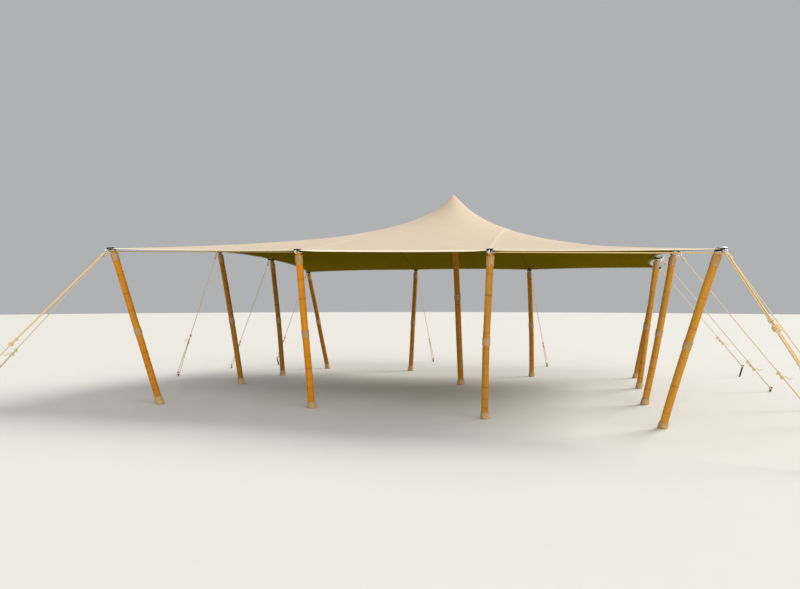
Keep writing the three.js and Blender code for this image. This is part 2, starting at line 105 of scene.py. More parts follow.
# Guy ropes: name, pole, place of the stake, share of the length at which the hitch sits, number
# of strands above the hitch, whether it leaves the side of the clamp, thickness of the strands
# and of the two legs below the hitch against a single rope, and places of the hitch's coils
SINGLE = (1, False, 1.0, 1.0, (-0.165, -0.085, 0.0))
SHORT = (1, False, 1.0, 1.0, (-0.085, 0.0))
GUYS = [
    ("front_left_corner", 0, (-6.070, -5.380), 0.59, 3, False, 1.0, 1.25, (-0.095, 0.0)),
    ("front_left_side", 0, (-6.835, -4.295), 0.68, 1, True, 1.0, 1.0, (-0.085, 0.0)),
    ("front_right_corner", 3, (4.730, -5.240), 0.395, 3, False, 1.2, 1.65, (-0.100, 0.0)),
    ("front_right_side", 3, (5.550, -2.290), 0.72, 1, True, 1.0, 1.0, (-0.165, -0.085, 0.0)),
    ("right_front", 4, (5.315, -1.460), 0.81, *SHORT),
    ("right_back", 5, (5.330, 0.555), 0.85, *SINGLE),
    ("back_right", 6, (5.310, 2.815), 0.76, *SINGLE),
    ("back_mid_right", 7, (1.360, 3.790), 0.78, *SHORT),
    ("back_mid_left", 8, (-1.520, 4.200), 0.78, *SHORT),
    ("back_left", 9, (-4.940, 2.340), 0.78, *SHORT),
    ("left_back", 10, (-5.680, 1.410), 0.78, *SHORT),
    ("left_front", 11, (-5.925, -0.290), 0.70, 1, False, 1.0, 1.0, (-0.110, 0.070)),
]

# Stakes that stand further out of the ground than the others, and their lengths over it
STANDING = {"back_right": 0.250, "back_left": 0.195}

# Edge straps: name, corner pole, pole whose clamp holds the other end, and its brightness, lowered
# as painted shade on the front left strap
STRAPS = [("front_left", 0, 1, 0.77), ("front_right", 3, 2, 1.0)]

# Sides of the sheet: name and first pole, each a few bays from pole to pole
SIDES = [("front", 0), ("right", 3), ("back", 6), ("left", 9)]
BAYS_A_SIDE = 3


def unit(v):
    """Each vector divided by its length."""
    return v / np.linalg.norm(v, axis=-1, keepdims=True)


def flat(v):
    """Each vector with its height set to zero."""
    return v * np.array([1.0, 1.0, 0.0])


def outward(a, b):
    """Level direction to the right of the way from a to b, which faces out of the tent."""
    along = unit(flat(b - a))
    return np.stack([along[..., 1], -along[..., 0], np.zeros(along.shape[:-1])], axis=-1)


def left_of(way):
    """Level direction a quarter turn to the left of a level direction."""
    return np.array([-way[1], way[0], 0.0])


def lengths(path):
    """How far along a path each of its points lies."""
    steps = np.linalg.norm(np.diff(path, axis=0), axis=1)
    return np.concatenate([[0], np.cumsum(steps)])


# The way out of the tent at each pole, and the corner of the sheet there, a little past the head
OUTWARDS = unit(outward(np.roll(HEADS, 1, 0), HEADS) + outward(HEADS, np.roll(HEADS, -1, 0)))
EDGE_OUT = 0.020
CORNERS = HEADS + EDGE_OUT * OUTWARDS + LIFTS[:, None] * UP


# Meshes


class Shape:
    """Points and faces of several closed surfaces, gathered to become one mesh."""

    def __init__(self):
        self.points, self.faces, self.uvs, self.slots, self.marks = [], [], [], [], []
        self.count = 0

    def faces_of(self, faces, uv, slot):
        """Takes in faces whose corners count from the first point of the surface being added."""
        self.faces.append(faces + self.count)
        self.uvs.append(uv)
        self.slots.append(np.broadcast_to(slot, len(faces)))

    def skin(self, rings, uv, slot=0, tips=None, mark=0.0):
        """Closed surface through rings of points (rows, columns, 3).

        Quads join each ring to the next, and a fan closes each end on its tip, which is the
        middle of the end ring where none is given. uv has one column more than the rings. The
        sum, over the faces, of a corner dotted with the face's area vector has the sign of the
        volume that they enclose, and the faces are turned round where it comes out below zero.
        """
        rows, columns = rings.shape[:2]
        tips = (rings[0].mean(0), rings[-1].mean(0)) if tips is None else tips
        points = np.concatenate([rings.reshape(-1, 3), np.array(tips)])
        i, j = np.meshgrid(np.arange(rows - 1), np.arange(columns), indexing="ij")
        k = (j + 1) % columns
        quads = np.stack([i * columns + j, i * columns + k,
                          (i + 1) * columns + k, (i + 1) * columns + j], -1).reshape(-1, 4)
        corners = np.stack([uv[i, j], uv[i, j + 1], uv[i + 1, j + 1], uv[i + 1, j]], -2)
        row_slots = np.broadcast_to(slot, rows - 1)
        parts = [(quads, corners.reshape(-1, 4, 2), np.repeat(row_slots, columns))]
        j = np.arange(columns)
        k = (j + 1) % columns
        first, last, top = rows * columns, rows * columns + 1, (rows - 1) * columns
        for tip, a, b, row, end in ((first, k, j, 0, 0), (last, top + j, top + k, rows - 1, -1)):
            middle = np.broadcast_to(uv[row].mean(0), (columns, 2))
            near, far = (uv[row, 1:], uv[row, :-1]) if end == 0 else (uv[row, :-1], uv[row, 1:])
            parts.append((np.stack([np.full(columns, tip), a, b], -1),
                          np.stack([middle, near, far], -2), row_slots[end]))
        volume = 0.0
        for faces, _, _ in parts:
            corner = points[faces]
            area = np.cross(corner[:, 2] - corner[:, 0], corner[:, -1] - corner[:, 1])
            volume += float(np.sum((corner[:, 0] - points[0]) * area))
        for faces, face_uv, slots in parts:
            if volume < 0:
                faces, face_uv = faces[:, ::-1], face_uv[:, ::-1]
            self.faces_of(faces, face_uv, slots)
        self.points.append(points)
        marks = np.broadcast_to(np.reshape(mark, (-1, 1)), (rows, columns))
        self.marks.append(np.concatenate([marks.ravel(), marks[0, :1], marks[-1, :1]]))
        self.count += rows * columns + 2

    def piece(self, name, materials, crease=35.0):
        """The gathered surfaces as one object of that name, smooth except at sharp edges."""
        points = np.concatenate(self.points).astype(np.float32)
        loops = np.concatenate([faces.ravel() for faces in self.faces]).astype(np.int32)
        sizes = np.concatenate([np.full(len(faces), faces.shape[1]) for faces in self.faces])
        starts = np.concatenate([[0], np.cumsum(sizes)[:-1]])
        mesh = bpy.data.meshes.new(name)
        mesh.vertices.add(len(points))
        mesh.vertices.foreach_set("co", points.ravel())
        mesh.loops.add(len(loops))
        mesh.loops.foreach_set("vertex_index", loops)
        mesh.polygons.add(len(sizes))
        mesh.polygons.foreach_set("loop_start", starts.astype(np.int32))
        mesh.polygons.foreach_set("loop_total", sizes.astype(np.int32))
        slots = np.concatenate(self.slots).astype(np.int32)
        mesh.polygons.foreach_set("material_index", slots)
        mesh.update(calc_edges=True)
        layer = mesh.uv_layers.new(name="UVMap")
        uv = np.concatenate([faces.reshape(-1, 2) for faces in self.uvs]).astype(np.float32)
        layer.data.foreach_set("uv", uv.ravel())
        mark = mesh.attributes.new("mark", "FLOAT", "POINT")
        mark.data.foreach_set("value", np.concatenate(self.marks).astype(np.float32))
        mesh.polygons.foreach_set("use_smooth", np.ones(len(sizes), bool))
        mesh.set_sharp_from_angle(angle=math.radians(crease))
        mesh.validate()
        for material in materials:
            mesh.materials.append(material)
        made = bpy.data.objects.new(name, mesh)
        bpy.context.scene.collection.objects.link(made)
        return made


def settle(piece, node):
    """Puts a piece on the tent's body and hides the node that it stands for."""
    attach(piece, "root")
    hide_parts(node)


def basis(direction):
    """Two unit vectors square to a direction, which with it make a right-handed set."""
    helper = UP if abs(direction[2]) < 0.9 else np.array([1.0, 0.0, 0.0])
    first = unit(np.cross(helper, direction))
    return first, np.cross(direction, first)


def circle(sides):
    """Cosines and sines of a full turn in equal steps."""
    turn = np.linspace(0, 2 * math.pi, sides, endpoint=False)
    return np.cos(turn), np.sin(turn)


def tube_uv(sides, along, radius):
    """Map of a tube: u runs round it and v along it, both in metres."""
    u = np.linspace(0, 2 * math.pi * radius, sides + 1)
    return np.stack(np.broadcast_arrays(u[None, :], along[:, None]), -1)


def turned(shape, origin, axis, profile, sides, slot=0, level=(0.0, 0.0), mark=0.0, bend=0.0):
    """Turned shape about an axis from pairs of radius and distance along the axis.

    Each ring is a circle square to the axis, except that over the first and last lengths given
    in level its plane turns until it is level at the end: a point of the ring slides along the
    axis by minus its offset's height over the plane divided by the axis's. The bend is how far
    the middle of each ring stands off the axis.
    """
    radius, along = np.array(profile, float).T
    axis = unit(np.array(axis, float))
    first, second = basis(axis)
    cosine, sine = circle(sides)
    ring = cosine[:, None] * first + sine[:, None] * second
    weight = np.zeros(len(along))
    for reach, from_end in zip(level, (along - along.min(), along.max() - along)):
        if reach:
            weight = np.maximum(weight, 1 - from_end / reach)
    weight = np.clip(weight, 0, 1)[:, None]
    plane = unit(axis * (1 - weight) + UP * weight)
    offsets = radius[:, None, None] * ring[None]
    slide = -np.einsum("rcx,rx->rc", offsets, plane) / (plane @ axis)[:, None]
    centres = np.array(origin) + along[:, None] * axis + bend
    rings = centres[:, None, :] + offsets + slide[..., None] * axis
    uv = tube_uv(sides, along, float(radius.mean()))
    shape.skin(rings, uv, slot, (centres[0], centres[-1]), mark)


# How deep the groove between two lobes of a rope is, against its radius
GROOVE = 0.16


def strand(shape, path, radius, side, sides, slot=0, lobes=0, lay=1.0):
    """Rope or bar along a path of points.

    Each ring is a circle square to the path. With lobes its radius is largest at the middle of
    each lobe, and the lobes turn once round the path in the length of the lay.
    """
    tangent = unit(np.gradient(path, axis=0))
    side = np.broadcast_to(side, path.shape)
    first = unit(side - np.einsum("rx,rx->r", side, tangent)[:, None] * tangent)
    second = np.cross(tangent, first)
    along = lengths(path)
    turn = np.linspace(0, 2 * math.pi, sides, endpoint=False)[None, :]
    reach = np.full((len(path), sides), float(radius))
    if lobes:
        twist = 2 * math.pi * along[:, None] / lay
        reach = radius * (1 - GROOVE * (1 - np.abs(np.cos(lobes * (turn - twist) / 2))))
    rings = (path[:, None, :] + (reach * np.cos(turn))[..., None] * first[:, None, :]
             + (reach * np.sin(turn))[..., None] * second[:, None, :])
    shape.skin(rings, tube_uv(sides, along, radius), slot, (path[0], path[-1]))


def slab(shape, place, outline, low, high, bevel, slot):
    """Plate of any outline: level rings from its lower to its upper face.

    The rings at both faces are drawn in by the bevel, and place turns a local point (out, side,
    up) into a point of the tent.
    """
    inset = 1 - bevel / np.abs(outline).max()
    sizes = np.array([inset, 1, 1, inset])
    heights = np.array([low, low + bevel, high - bevel, high])
    middle = outline.mean(0)
    rings = middle + sizes[:, None, None] * (outline - middle)[None]
    level = np.broadcast_to(heights[:, None, None], (len(sizes), len(outline), 1))
    rings = np.concatenate([rings, level], -1)
    uv = tube_uv(len(outline), heights, float(np.abs(outline).max()))
    shape.skin(place(rings), uv, slot)


def disc(x, y, radius, sides):
    """Outline of a circle or a regular polygon about a point."""
    cosine, sine = circle(sides)
    return np.stack([x + radius * cosine, y + radius * sine], -1)


def rounded(x0, x1, y0, y1, corner, steps=5):
    """Outline of a rectangle with round corners, counter-clockwise."""
    quarter = np.linspace(0, math.pi / 2, steps)
    parts = []
    for k, (x, y) in enumerate(((x1, y1), (x0, y1), (x0, y0), (x1, y0))):
        turn = quarter + k * math.pi / 2
        middle = np.array([x + (corner if x == x0 else -corner),
                           y + (corner if y == y0 else -corner)])
        parts.append(middle + corner * np.stack([np.cos(turn), np.sin(turn)], -1))
    return np.concatenate(parts)


# Surfaces of the tent

# Edge of the sheet in each bay: how far it bows in, as a share of the bay, and how far it rises
EDGE_BOW = 0.08
EDGE_RISE = 0.006

# Slope of the sheet: radius of its rounded tip, the softness of its slope there for a reach of one
# metre, which a longer reach divides by its power, and the radius of the round rings about it
TIP_RADIUS = 0.050
TIP_SOFTNESS = 1.450
SOFTNESS_POWER = 1.15
INNER_RADIUS = 3.0

# Grid of the sheet: steps in a bay, rings, how close they stand at the tip, and how many bays the
# cloth evens out there
BAY_STEPS = 36
SHEET_RINGS = 84
RING_POWER = 1.5
EASING = 0.55


def edge_line(places):
    """Points of the sheet's edge at places counted in bays.

    From corner to corner the edge is the straight line, bowed inwards by a parabola of a share
    of the span and raised by the same parabola.
    """
    bay = np.floor(places).astype(int)
    s = (places - bay)[:, None]
    a, b = CORNERS[bay % len(CORNERS)], CORNERS[(bay + 1) % len(CORNERS)]
    bow = 4 * s * (1 - s)
    span = np.linalg.norm(flat(b - a), axis=1, keepdims=True)
    return a + s * (b - a) - EDGE_BOW * span * bow * outward(a, b) + EDGE_RISE * bow * UP


def sheet_middle(rim, t):
    """Middle surface of the sheet for rim points and shares t of the way out from the tip.

    The rings are round near the tip and grow into the outline of the edge. The height falls
    from the tip as the logarithm of the distance from it, softened near the tip.
    """
    reach = np.linalg.norm(flat(rim - PEAK), axis=1)[None, :]
    t = t[:, None]
    radius = t * (INNER_RADIUS + (reach - INNER_RADIUS) * t)
    softness = TIP_SOFTNESS / reach ** SOFTNESS_POWER

    def soft(r):
        return np.hypot(r, TIP_RADIUS) + softness

    fall = np.log(soft(reach) / soft(radius)) / np.log(soft(reach) / soft(0.0))
    share = (radius / reach)[..., None]
    points = PEAK + share * (rim[None] - PEAK)
    points[..., 2] = rim[None, :, 2] + (PEAK[2] - rim[None, :, 2]) * fall
    return points


def eased(points, t):
    """Rings smoothed round the tip, as the cloth evens out its own creases.

    Each point is averaged with its neighbours on the same ring by a bell curve, whose width in
    bays falls evenly from EASING at the tip to nothing at the edge.
    """
    waves = np.fft.rfft(points, axis=1)
    turns = np.arange(waves.shape[1]) * 2 * math.pi / len(POLES)
    width = EASING * (1 - t)
    keep = np.exp(-0.5 * (turns[None, :] * width[:, None]) ** 2)
    return np.fft.irfft(waves * keep[..., None], n=points.shape[1], axis=1)


# Seams, each from a front pole to the back pole across from it, and how far its middle is drawn
# to the right of that way
SEAMS = [(HEADS[1], HEADS[8], 0.04), (HEADS[2], HEADS[7], -0.21)]

# Folds of the sheet: height and width of the ridge on a seam, number of folds in a full turn about
# a clamp, which differs by up to two from clamp to clamp, how fast they die away and how near it
# they start, height of the broad waves and how fast each of the two turns along X and Y, and the
# shares of the way from tip to edge over which all of them fade at either end. Heights are shares
# of the folds' depth.
RIDGE_HEIGHT = 0.9
RIDGE_WIDTH = 0.06
FAN_FOLDS = 13
FAN_REACH = 0.33
FAN_START = 0.08
BROAD_HEIGHT = 0.4
BROAD_WAVES = [(2.1, 0.7), (-0.5, 1.7)]
FADE_AT_EDGE = 0.04
FADE_AT_TIP = 0.06


def seam_frame(start, end):
    """Level unit vectors along a seam and to the right of it, and its length seen from above."""
    return unit(flat(end - start)), outward(start, end), float(np.linalg.norm(flat(end - start)))


def folds(points, t, depth):
    """Small folds of the stretched cloth, as heights to add to the middle surface.

    A low ridge follows each seam, and from every clamp folds fan out as a cosine of the bearing
    that dies away within a metre. Broad waves are a product of two sines.
    """
    height = np.zeros(points.shape[:2])
    for start, end, bow in SEAMS:
        way, right, length = seam_frame(start, end)
        share = (points - start) @ way / length
        distance = (points - start) @ right - 4 * bow * share * (1 - share)
        height += RIDGE_HEIGHT * depth * np.exp(-(distance / RIDGE_WIDTH) ** 2)
    for k, corner in enumerate(CORNERS):
        away = points[..., :2] - corner[:2]
        distance = np.hypot(away[..., 0], away[..., 1])
        bearing = np.arctan2(away[..., 1], away[..., 0])
        fan = np.cos((FAN_FOLDS + k % 3) * bearing + k)
        height += depth * fan * np.exp(-distance / FAN_REACH) * distance / (distance + FAN_START)
    broad = [np.sin(a * points[..., 0] + b * points[..., 1]) for a, b in BROAD_WAVES]
    height += BROAD_HEIGHT * depth * (broad[0] * broad[1])
    t = t[:, None]
    return height * np.clip((1 - t) / FADE_AT_EDGE, 0, 1) * np.clip(t / FADE_AT_TIP, 0, 1)


def clamp_frame(i):
    """Turns local points (out, side, up) about the head of a pole into points of the tent."""
    axes = np.stack([OUTWARDS[i], left_of(OUTWARDS[i]), UP])

    def place(local):
        return HEADS[i] + local @ axes

    return place


# Jaws of a clamp: width, how far out their plain part ends, and how far out they reach
JAW_WIDTH = 0.084
JAW_CORE = 0.064
JAW_REACH = 0.090

# Shackle: radius, how deep it sits in the jaws, how far its seat is from their edge and under the
# sheet, and how far past it the middle of the rope's eye lies
RING_RADIUS = 0.024
RING_SEAT = 0.003
RING_INSET = 0.012
RING_DROP = 0.022
EYE_SHIFT = 0.0327

# Stake: lean away from the tent, radius, length over the ground, and the loop's place under its top
STAKE_LEAN = math.radians(17)
STAKE_RADIUS = 0.016
STAKE_LENGTH = 0.085
LOOP_DROP = 0.035


def rope_line(guy):
    """Everything along a guy rope: its ring on the clamp, its eye, its hitch and its stake.

    The ring hangs under the jaws of the clamp where the pull leaves them, and the rope is the
    straight line from there to its loop on the stake, which leans away from the tent.
    """
    name, i, stake, share, strands, from_side, upper, lower, coils = guy
    ground = np.array([*stake, 0.0])
    out, across = OUTWARDS[i], left_of(OUTWARDS[i])
    way = unit(flat(ground - HEADS[i]))
    half = JAW_WIDTH / 2 - RING_INSET
    forward = 0.0 if from_side else JAW_REACH - JAW_CORE - RING_INSET
    reach = half / abs(way @ across) if from_side else forward / (way @ out)
    place = (JAW_CORE + forward, (way @ across) * reach, LIFTS[i] - RING_DROP)
    seat = clamp_frame(i)(np.array(place))
    away = unit(flat(ground - seat))
    axis = away * math.sin(STAKE_LEAN) + UP * math.cos(STAKE_LEAN)
    length = STANDING.get(name, STAKE_LENGTH)
    loop = ground + (length - LOOP_DROP) * axis
    pull = unit(loop - seat)
    ring = seat + (RING_RADIUS - RING_SEAT) * pull
    eye = ring + EYE_SHIFT * pull
    return {
        "name": name, "ground": ground, "axis": axis, "loop": loop, "pull": pull, "ring": ring,
        "sideways": left_of(away), "length": length, "hitch": eye + share * (loop - eye),
        "strands": strands, "pole": i, "upper": upper, "lower": lower, "coils": coils,
    }


LINES = [rope_line(guy) for guy in GUYS]


# Materials


def linear(colour):
    """A colour as people see it, turned into the values that light adds up in."""
    c = np.array(colour[:3])
    return (*np.where(c <= 0.04045, c / 12.92, ((c + 0.055) / 1.055) ** 2.4), 1.0)


class Nodes:
    """A node tree that is filled by naming node types, values and links."""

    def __init__(self, tree):
        self.tree = tree

    def new(self, kind, settings=None, **inputs):
        """A node with its own settings and its inputs set, each by its name."""
        node = self.tree.nodes.new(kind)
        for key, value in (settings or {}).items():
            setattr(node, key, value)
        for key, value in inputs.items():
            self.set(node, key.replace("_", " "), value)
        return node

    def set(self, node, key, value):
        """Links an output to an input, or gives the input a plain value."""
        socket = node.inputs[key]
        if isinstance(value, bpy.types.NodeSocket):
            self.tree.links.new(value, socket)
        else:
            socket.default_value = value

    def feed(self, node, values, places=(0, 1, 2, 3, 4)):
        """Sets a node's inputs by their places."""
        for place, value in zip(places, values):
            self.set(node, place, value)
        return node.outputs

    def maths(self, operation, *values):
        return self.feed(self.new("ShaderNodeMath", {"operation": operation}), values)[0]

    def times(self, a, b):
        return self.maths("MULTIPLY", a, b)

    def share(self, a, b, part):
        """Sum of two values, of which the first counts for a part and the second for the rest."""
        return self.maths("ADD", self.times(a, part), self.times(b, 1 - part))

    def vectors(self, operation, *values):
        return self.feed(self.new("ShaderNodeVectorMath", {"operation": operation}), values)

    def mix(self, factor, a, b):
        node = self.new("ShaderNodeMix", {"data_type": "RGBA"})
        return self.feed(node, (factor, a, b), (0, 6, 7))[2]

    def span(self, value, low, high, start=0.0, end=1.0):
        """Goes smoothly from start to end while a value goes from low to high."""
        node = self.new("ShaderNodeMapRange", {"interpolation_type": "SMOOTHSTEP"})
        return self.feed(node, (value, low, high, start, end))[0]

    def tinge(self, tint, other, value, low, high, most=1.0):
        """Mixes in up to so much of another colour while a value goes from low to high."""
        return self.mix(self.span(value, low, high, 0.0, most), tint, other)

    def noise(self, vector, scale, detail, roughness):
        return self.new("ShaderNodeTexNoise", Vector=vector, Scale=scale, Detail=detail,
                        Roughness=roughness).outputs[0]

    def stretch(self, vector, scale):
        return self.new("ShaderNodeMapping", Vector=vector, Scale=scale).outputs[0]


def group(name, output, inputs, fill):
    """A shader node group with named inputs and one output, filled by a function, built once.

    An input is a number where a default is given, and a vector where none is.
    """
    found = bpy.data.node_groups.get(name)
    if found:
        return found
    tree = bpy.data.node_groups.new(name, "ShaderNodeTree")
    for key, value in inputs.items():
        kind = "NodeSocketVector" if value is None else "NodeSocketFloat"
        socket = tree.interface.new_socket(name=key, in_out="INPUT", socket_type=kind)
        if value is not None:
            socket.default_value = value
    tree.interface.new_socket(name=output, in_out="OUTPUT", socket_type="NodeSocketFloat")
    start = tree.nodes.new("NodeGroupInput")
    end = tree.nodes.new("NodeGroupOutput")
    tree.links.new(fill(Nodes(tree), start.outputs), end.inputs[output])
    return tree


def weave_group():
    """Woven threads: two crossing sine waves, and a mask that is 1 on top of a thread."""

    def fill(n, given):
        parts = n.new("ShaderNodeSeparateXYZ", Vector=given["Vector"]).outputs
        waves = [n.maths("SINE", n.times(n.times(part, given[count]), 2 * math.pi))
                 for part, count in zip(parts, ("Across", "Along"))]
        return n.maths("MULTIPLY_ADD", n.times(*waves), 0.5, 0.5)

    return group("Weave", "Height", {"Vector": None, "Across": 400.0, "Along": 400.0}, fill)


def blotch_group():
    """Broad uneven patches with finer ones in them, from 0 to 1 about a half."""

    def fill(n, given):
        sized = n.new("ShaderNodeVectorMath", {"operation": "SCALE"}, Vector=given["Vector"],
                      Scale=given["Size"]).outputs[0]
        return n.share(n.noise(sized, 1.0, 4.0, 0.55), n.noise(sized, 7.0, 3.0, 0.6), 0.65)

    return group("Blotches", "Value", {"Vector": None, "Size": 1.0}, fill)


def seam_group():
    """Distance from a bowed seam: how far a place is to its right, less the seam's parabola."""

    def fill(n, given):
        away = n.vectors("SUBTRACT", given["Vector"], given["Start"])[0]
        along = n.vectors("DOT_PRODUCT", away, given["Way"])["Value"]
        aside = n.vectors("DOT_PRODUCT", away, given["Right"])["Value"]
        share = n.maths("DIVIDE", along, given["Length"])
        arch = n.times(share, n.maths("SUBTRACT", 1.0, share))
        middle = n.times(arch, n.times(given["Bow"], 4.0))
        return n.maths("ABSOLUTE", n.maths("SUBTRACT", aside, middle))

    return group("Seam", "Distance", {"Vector": None, "Start": None, "Way": None, "Right": None,
                                      "Length": 1.0, "Bow": 0.0}, fill)


def wear_group():
    """Scuffs: a mask that is 1 in small worn spots and on scratches."""

    def fill(n, given):
        spots = n.noise(given["Vector"], 60.0, 5.0, 0.65)
        lines = n.noise(n.stretch(given["Vector"], (12.0, 12.0, 260.0)), 1.0, 2.0, 0.5)
        low = n.maths("SUBTRACT", 0.78, given["Amount"])
        both = n.maths("MAXIMUM", spots, n.times(lines, 0.92))
        return n.span(both, low, n.maths("ADD", low, 0.07))

    return group("Wear", "Mask", {"Vector": None, "Amount": 0.1}, fill)


def material(name, roughness, metallic=0.0, **plain):
    """A material with its shader, its node tree, and the object, map and mark coordinates."""
    made = bpy.data.materials.new(name)
    made.use_nodes = True
    n = Nodes(made.node_tree)
    shader = made.node_tree.nodes["Principled BSDF"]
    shader.inputs["Roughness"].default_value = roughness
    shader.inputs["Metallic"].default_value = metallic
    for key, value in plain.items():
        shader.inputs[key.replace("_", " ")].default_value = value
    coordinates = n.new("ShaderNodeTexCoord").outputs
    mark = n.new("ShaderNodeAttribute", {"attribute_name": "mark"}).outputs["Fac"]
    return made, n, shader, coordinates["Object"], coordinates["UV"], mark


def finish(n, shader, tint, height, distance, strength):
    """Feeds the shader its colour, and a height through a Bump node as its relief."""
    bump = n.new("ShaderNodeBump", Height=height, Distance=distance, Strength=strength)
    n.set(shader, "Base Color", tint)
    n.set(shader, "Normal", bump.outputs[0])


def use(n, tree, **inputs):
    """A group node with its inputs set."""
    return n.new("ShaderNodeGroup", {"node_tree": tree}, **inputs).outputs[0]


def scaled(colour, factor):
    """A colour with its three parts multiplied by a factor, or by one each."""
    return (*(np.array(colour[:3]) * factor), 1.0)


def sheet_material(name, colour, specular, sheen, seam, lap_highlight_and_shade, patch):
    """Knitted stretch cloth: fine ribs, broad soft patches and lapped seams with a row of stitches.

    The map gives plan positions in metres, on which each seam is a bowed line. Its lap is twice
    seam wide and a given factor times as bright as the cloth: a real lap of tape, brightened as a
    painted highlight along the seam on the top and darkened as painted shade along it underneath.
    Patch is how deep the patches are.
    """
    made, n, shader, _, uv, _ = material(name, 0.85, Specular_IOR_Level=specular,
                                         Sheen_Weight=sheen, Sheen_Roughness=0.4)
    base = linear(colour)
    soft = use(n, blotch_group(), Vector=uv, Size=0.8)
    fine = use(n, blotch_group(), Vector=uv, Size=14.0)
    tint = n.tinge(scaled(base, 1 - patch), scaled(base, 1 + patch / 2), soft, 0.35, 0.65)
    tint = n.tinge(tint, scaled(base, 1 - patch / 2), fine, 0.3, 0.7, 0.5)
    distances = []
    for start, end, bow in SEAMS:
        way, right, length = seam_frame(start, end)
        distances.append(use(n, seam_group(), Vector=uv, Start=tuple(flat(start)), Way=tuple(way),
                             Right=tuple(right), Length=length, Bow=bow))
    away = n.maths("MINIMUM", *distances)
    lap = n.span(away, seam, seam + 0.002, 1.0, 0.0)
    row = n.maths("ABSOLUTE", n.maths("SUBTRACT", away, seam - 0.004))
    thread = n.span(row, 0.0008, 0.0016, 1.0, 0.0)
    # Painted light on the lap: brighter as a painted highlight on the top, darker as painted shade
    # underneath.
    tint = n.mix(n.times(lap, 0.8), tint, scaled(base, lap_highlight_and_shade))
    tint = n.mix(n.times(thread, 0.4), tint, scaled(base, 0.7))
    knit = use(n, weave_group(), Vector=uv, Across=420.0, Along=260.0)
    finish(n, shader, tint, n.share(knit, lap, 0.25), 0.0012, 0.6)
    return made


# How much of the map round a hem comes before its upper side, the rows of stitches to a metre of
# tape across it, and the stitches to a metre of a row
LOWER_SIDE = 0.036
STITCH_ROWS = 60.0
STITCHES = 140.0


def webbing_material(name, colour, lower=None):
    """Woven tape: ribs across its width, rows of stitches and grime in the folds.

    With a lower colour the part of the map that comes first round the tape, its lower side,
    takes that colour, which paints shade on the tape's lower side.
    """
    made, n, shader, _, uv, _ = material(name, 0.85)
    base = linear(colour)
    round_it, along = n.new("ShaderNodeSeparateXYZ", Vector=uv).outputs[:2]
    ribs = use(n, weave_group(), Vector=uv, Across=300.0, Along=300.0)
    dirt = use(n, blotch_group(), Vector=uv, Size=6.0)
    tint = n.tinge(base, scaled(base, 0.82), dirt, 0.45, 0.75, 0.5)
    # Painted shade: the tape's lower side takes the darker colour, as if in the shade under the sheet.
    if lower is not None:
        side = n.span(round_it, LOWER_SIDE, LOWER_SIDE + 0.002, 1.0, 0.0)
        tint = n.mix(side, tint, linear(lower))
    tint = n.mix(n.times(ribs, 0.1), tint, scaled(base, 0.6))
    dash = n.span(n.maths("FRACT", n.times(along, STITCHES)), 0.62, 0.7, 1.0, 0.0)
    row = n.maths("SUBTRACT", n.maths("FRACT", n.times(round_it, STITCH_ROWS)), 0.5)
    row = n.span(n.maths("ABSOLUTE", row), 0.05, 0.09, 1.0, 0.0)
    stitch = n.times(row, dash)
    tint = n.mix(n.times(stitch, 0.3), tint, scaled(base, 1.2))
    finish(n, shader, tint, n.share(ribs, stitch, 0.6), 0.0005, 0.5)
    return made


def bamboo_material(name, straw, amber, tone, brightness_and_painted_light):
    """Varnished bamboo: fine streaks along it, darker at each ring and in scattered flecks.

    The mark on the mesh is 1 on a ring and falls to 0 away from it.
    """
    made, n, shader, _, uv, mark = material(name, 0.42, Specular_IOR_Level=0.10,
                                            Coat_Weight=0.06, Coat_Roughness=0.25)
    blend = np.array(linear(straw)) * (1 - tone) + np.array(linear(amber)) * tone
    # Brightness scales the culm's colour: painted light, lower as painted shade on poles that stood in
    # shade, higher on sunlit ones.
    base = scaled(blend, brightness_and_painted_light)
    streak = n.noise(n.stretch(uv, (170.0, 3.0, 1.0)), 1.0, 4.0, 0.6)
    broad = use(n, blotch_group(), Vector=n.stretch(uv, (5.0, 1.3, 1.0)), Size=1.0)
    flecks = n.noise(n.stretch(uv, (60.0, 22.0, 1.0)), 1.0, 2.0, 0.5)
    tint = n.tinge(base, scaled(base, 0.78), streak, 0.3, 0.75, 0.6)
    tint = n.tinge(tint, scaled(base, 1.25), broad, 0.38, 0.62, 0.75)
    tint = n.tinge(tint, scaled(base, 0.6), flecks, 0.68, 0.76, 0.4)
    tint = n.mix(n.times(mark, 0.95), tint, scaled(base, (0.66, 0.50, 0.40)))
    n.set(shader, "Roughness", n.span(broad, 0.3, 0.7, 0.34, 0.50))
    finish(n, shader, tint, streak, 0.0005, 0.4)
    return made


def tape_material(name, colour, dirt_tone):
    """Wound tape: a faint weave, creases across it, and darkening along the edge of each turn.

    The mark on the mesh is 1 on the edge of a turn and falls to 0 away from it.
    """
    made, n, shader, _, uv, mark = material(name, 0.45, Specular_IOR_Level=0.4)
    base = linear(colour)
    creases = n.noise(n.stretch(uv, (14.0, 130.0, 1.0)), 1.0, 3.0, 0.6)
    patches = use(n, blotch_group(), Vector=uv, Size=11.0)
    weave = use(n, weave_group(), Vector=uv, Across=500.0, Along=500.0)
    tint = n.tinge(scaled(base, 1.08), scaled(base, dirt_tone), patches, 0.35, 0.7)
    tint = n.tinge(tint, scaled(base, 0.7), creases, 0.55, 0.8, 0.4)
    tint = n.tinge(tint, scaled(base, 0.5), mark, 0.2, 1.0, 0.5)
    n.set(shader, "Roughness", n.span(patches, 0.3, 0.7, 0.38, 0.6))
    finish(n, shader, tint, n.share(creases, weave, 0.8), 0.0008, 0.5)
    return made


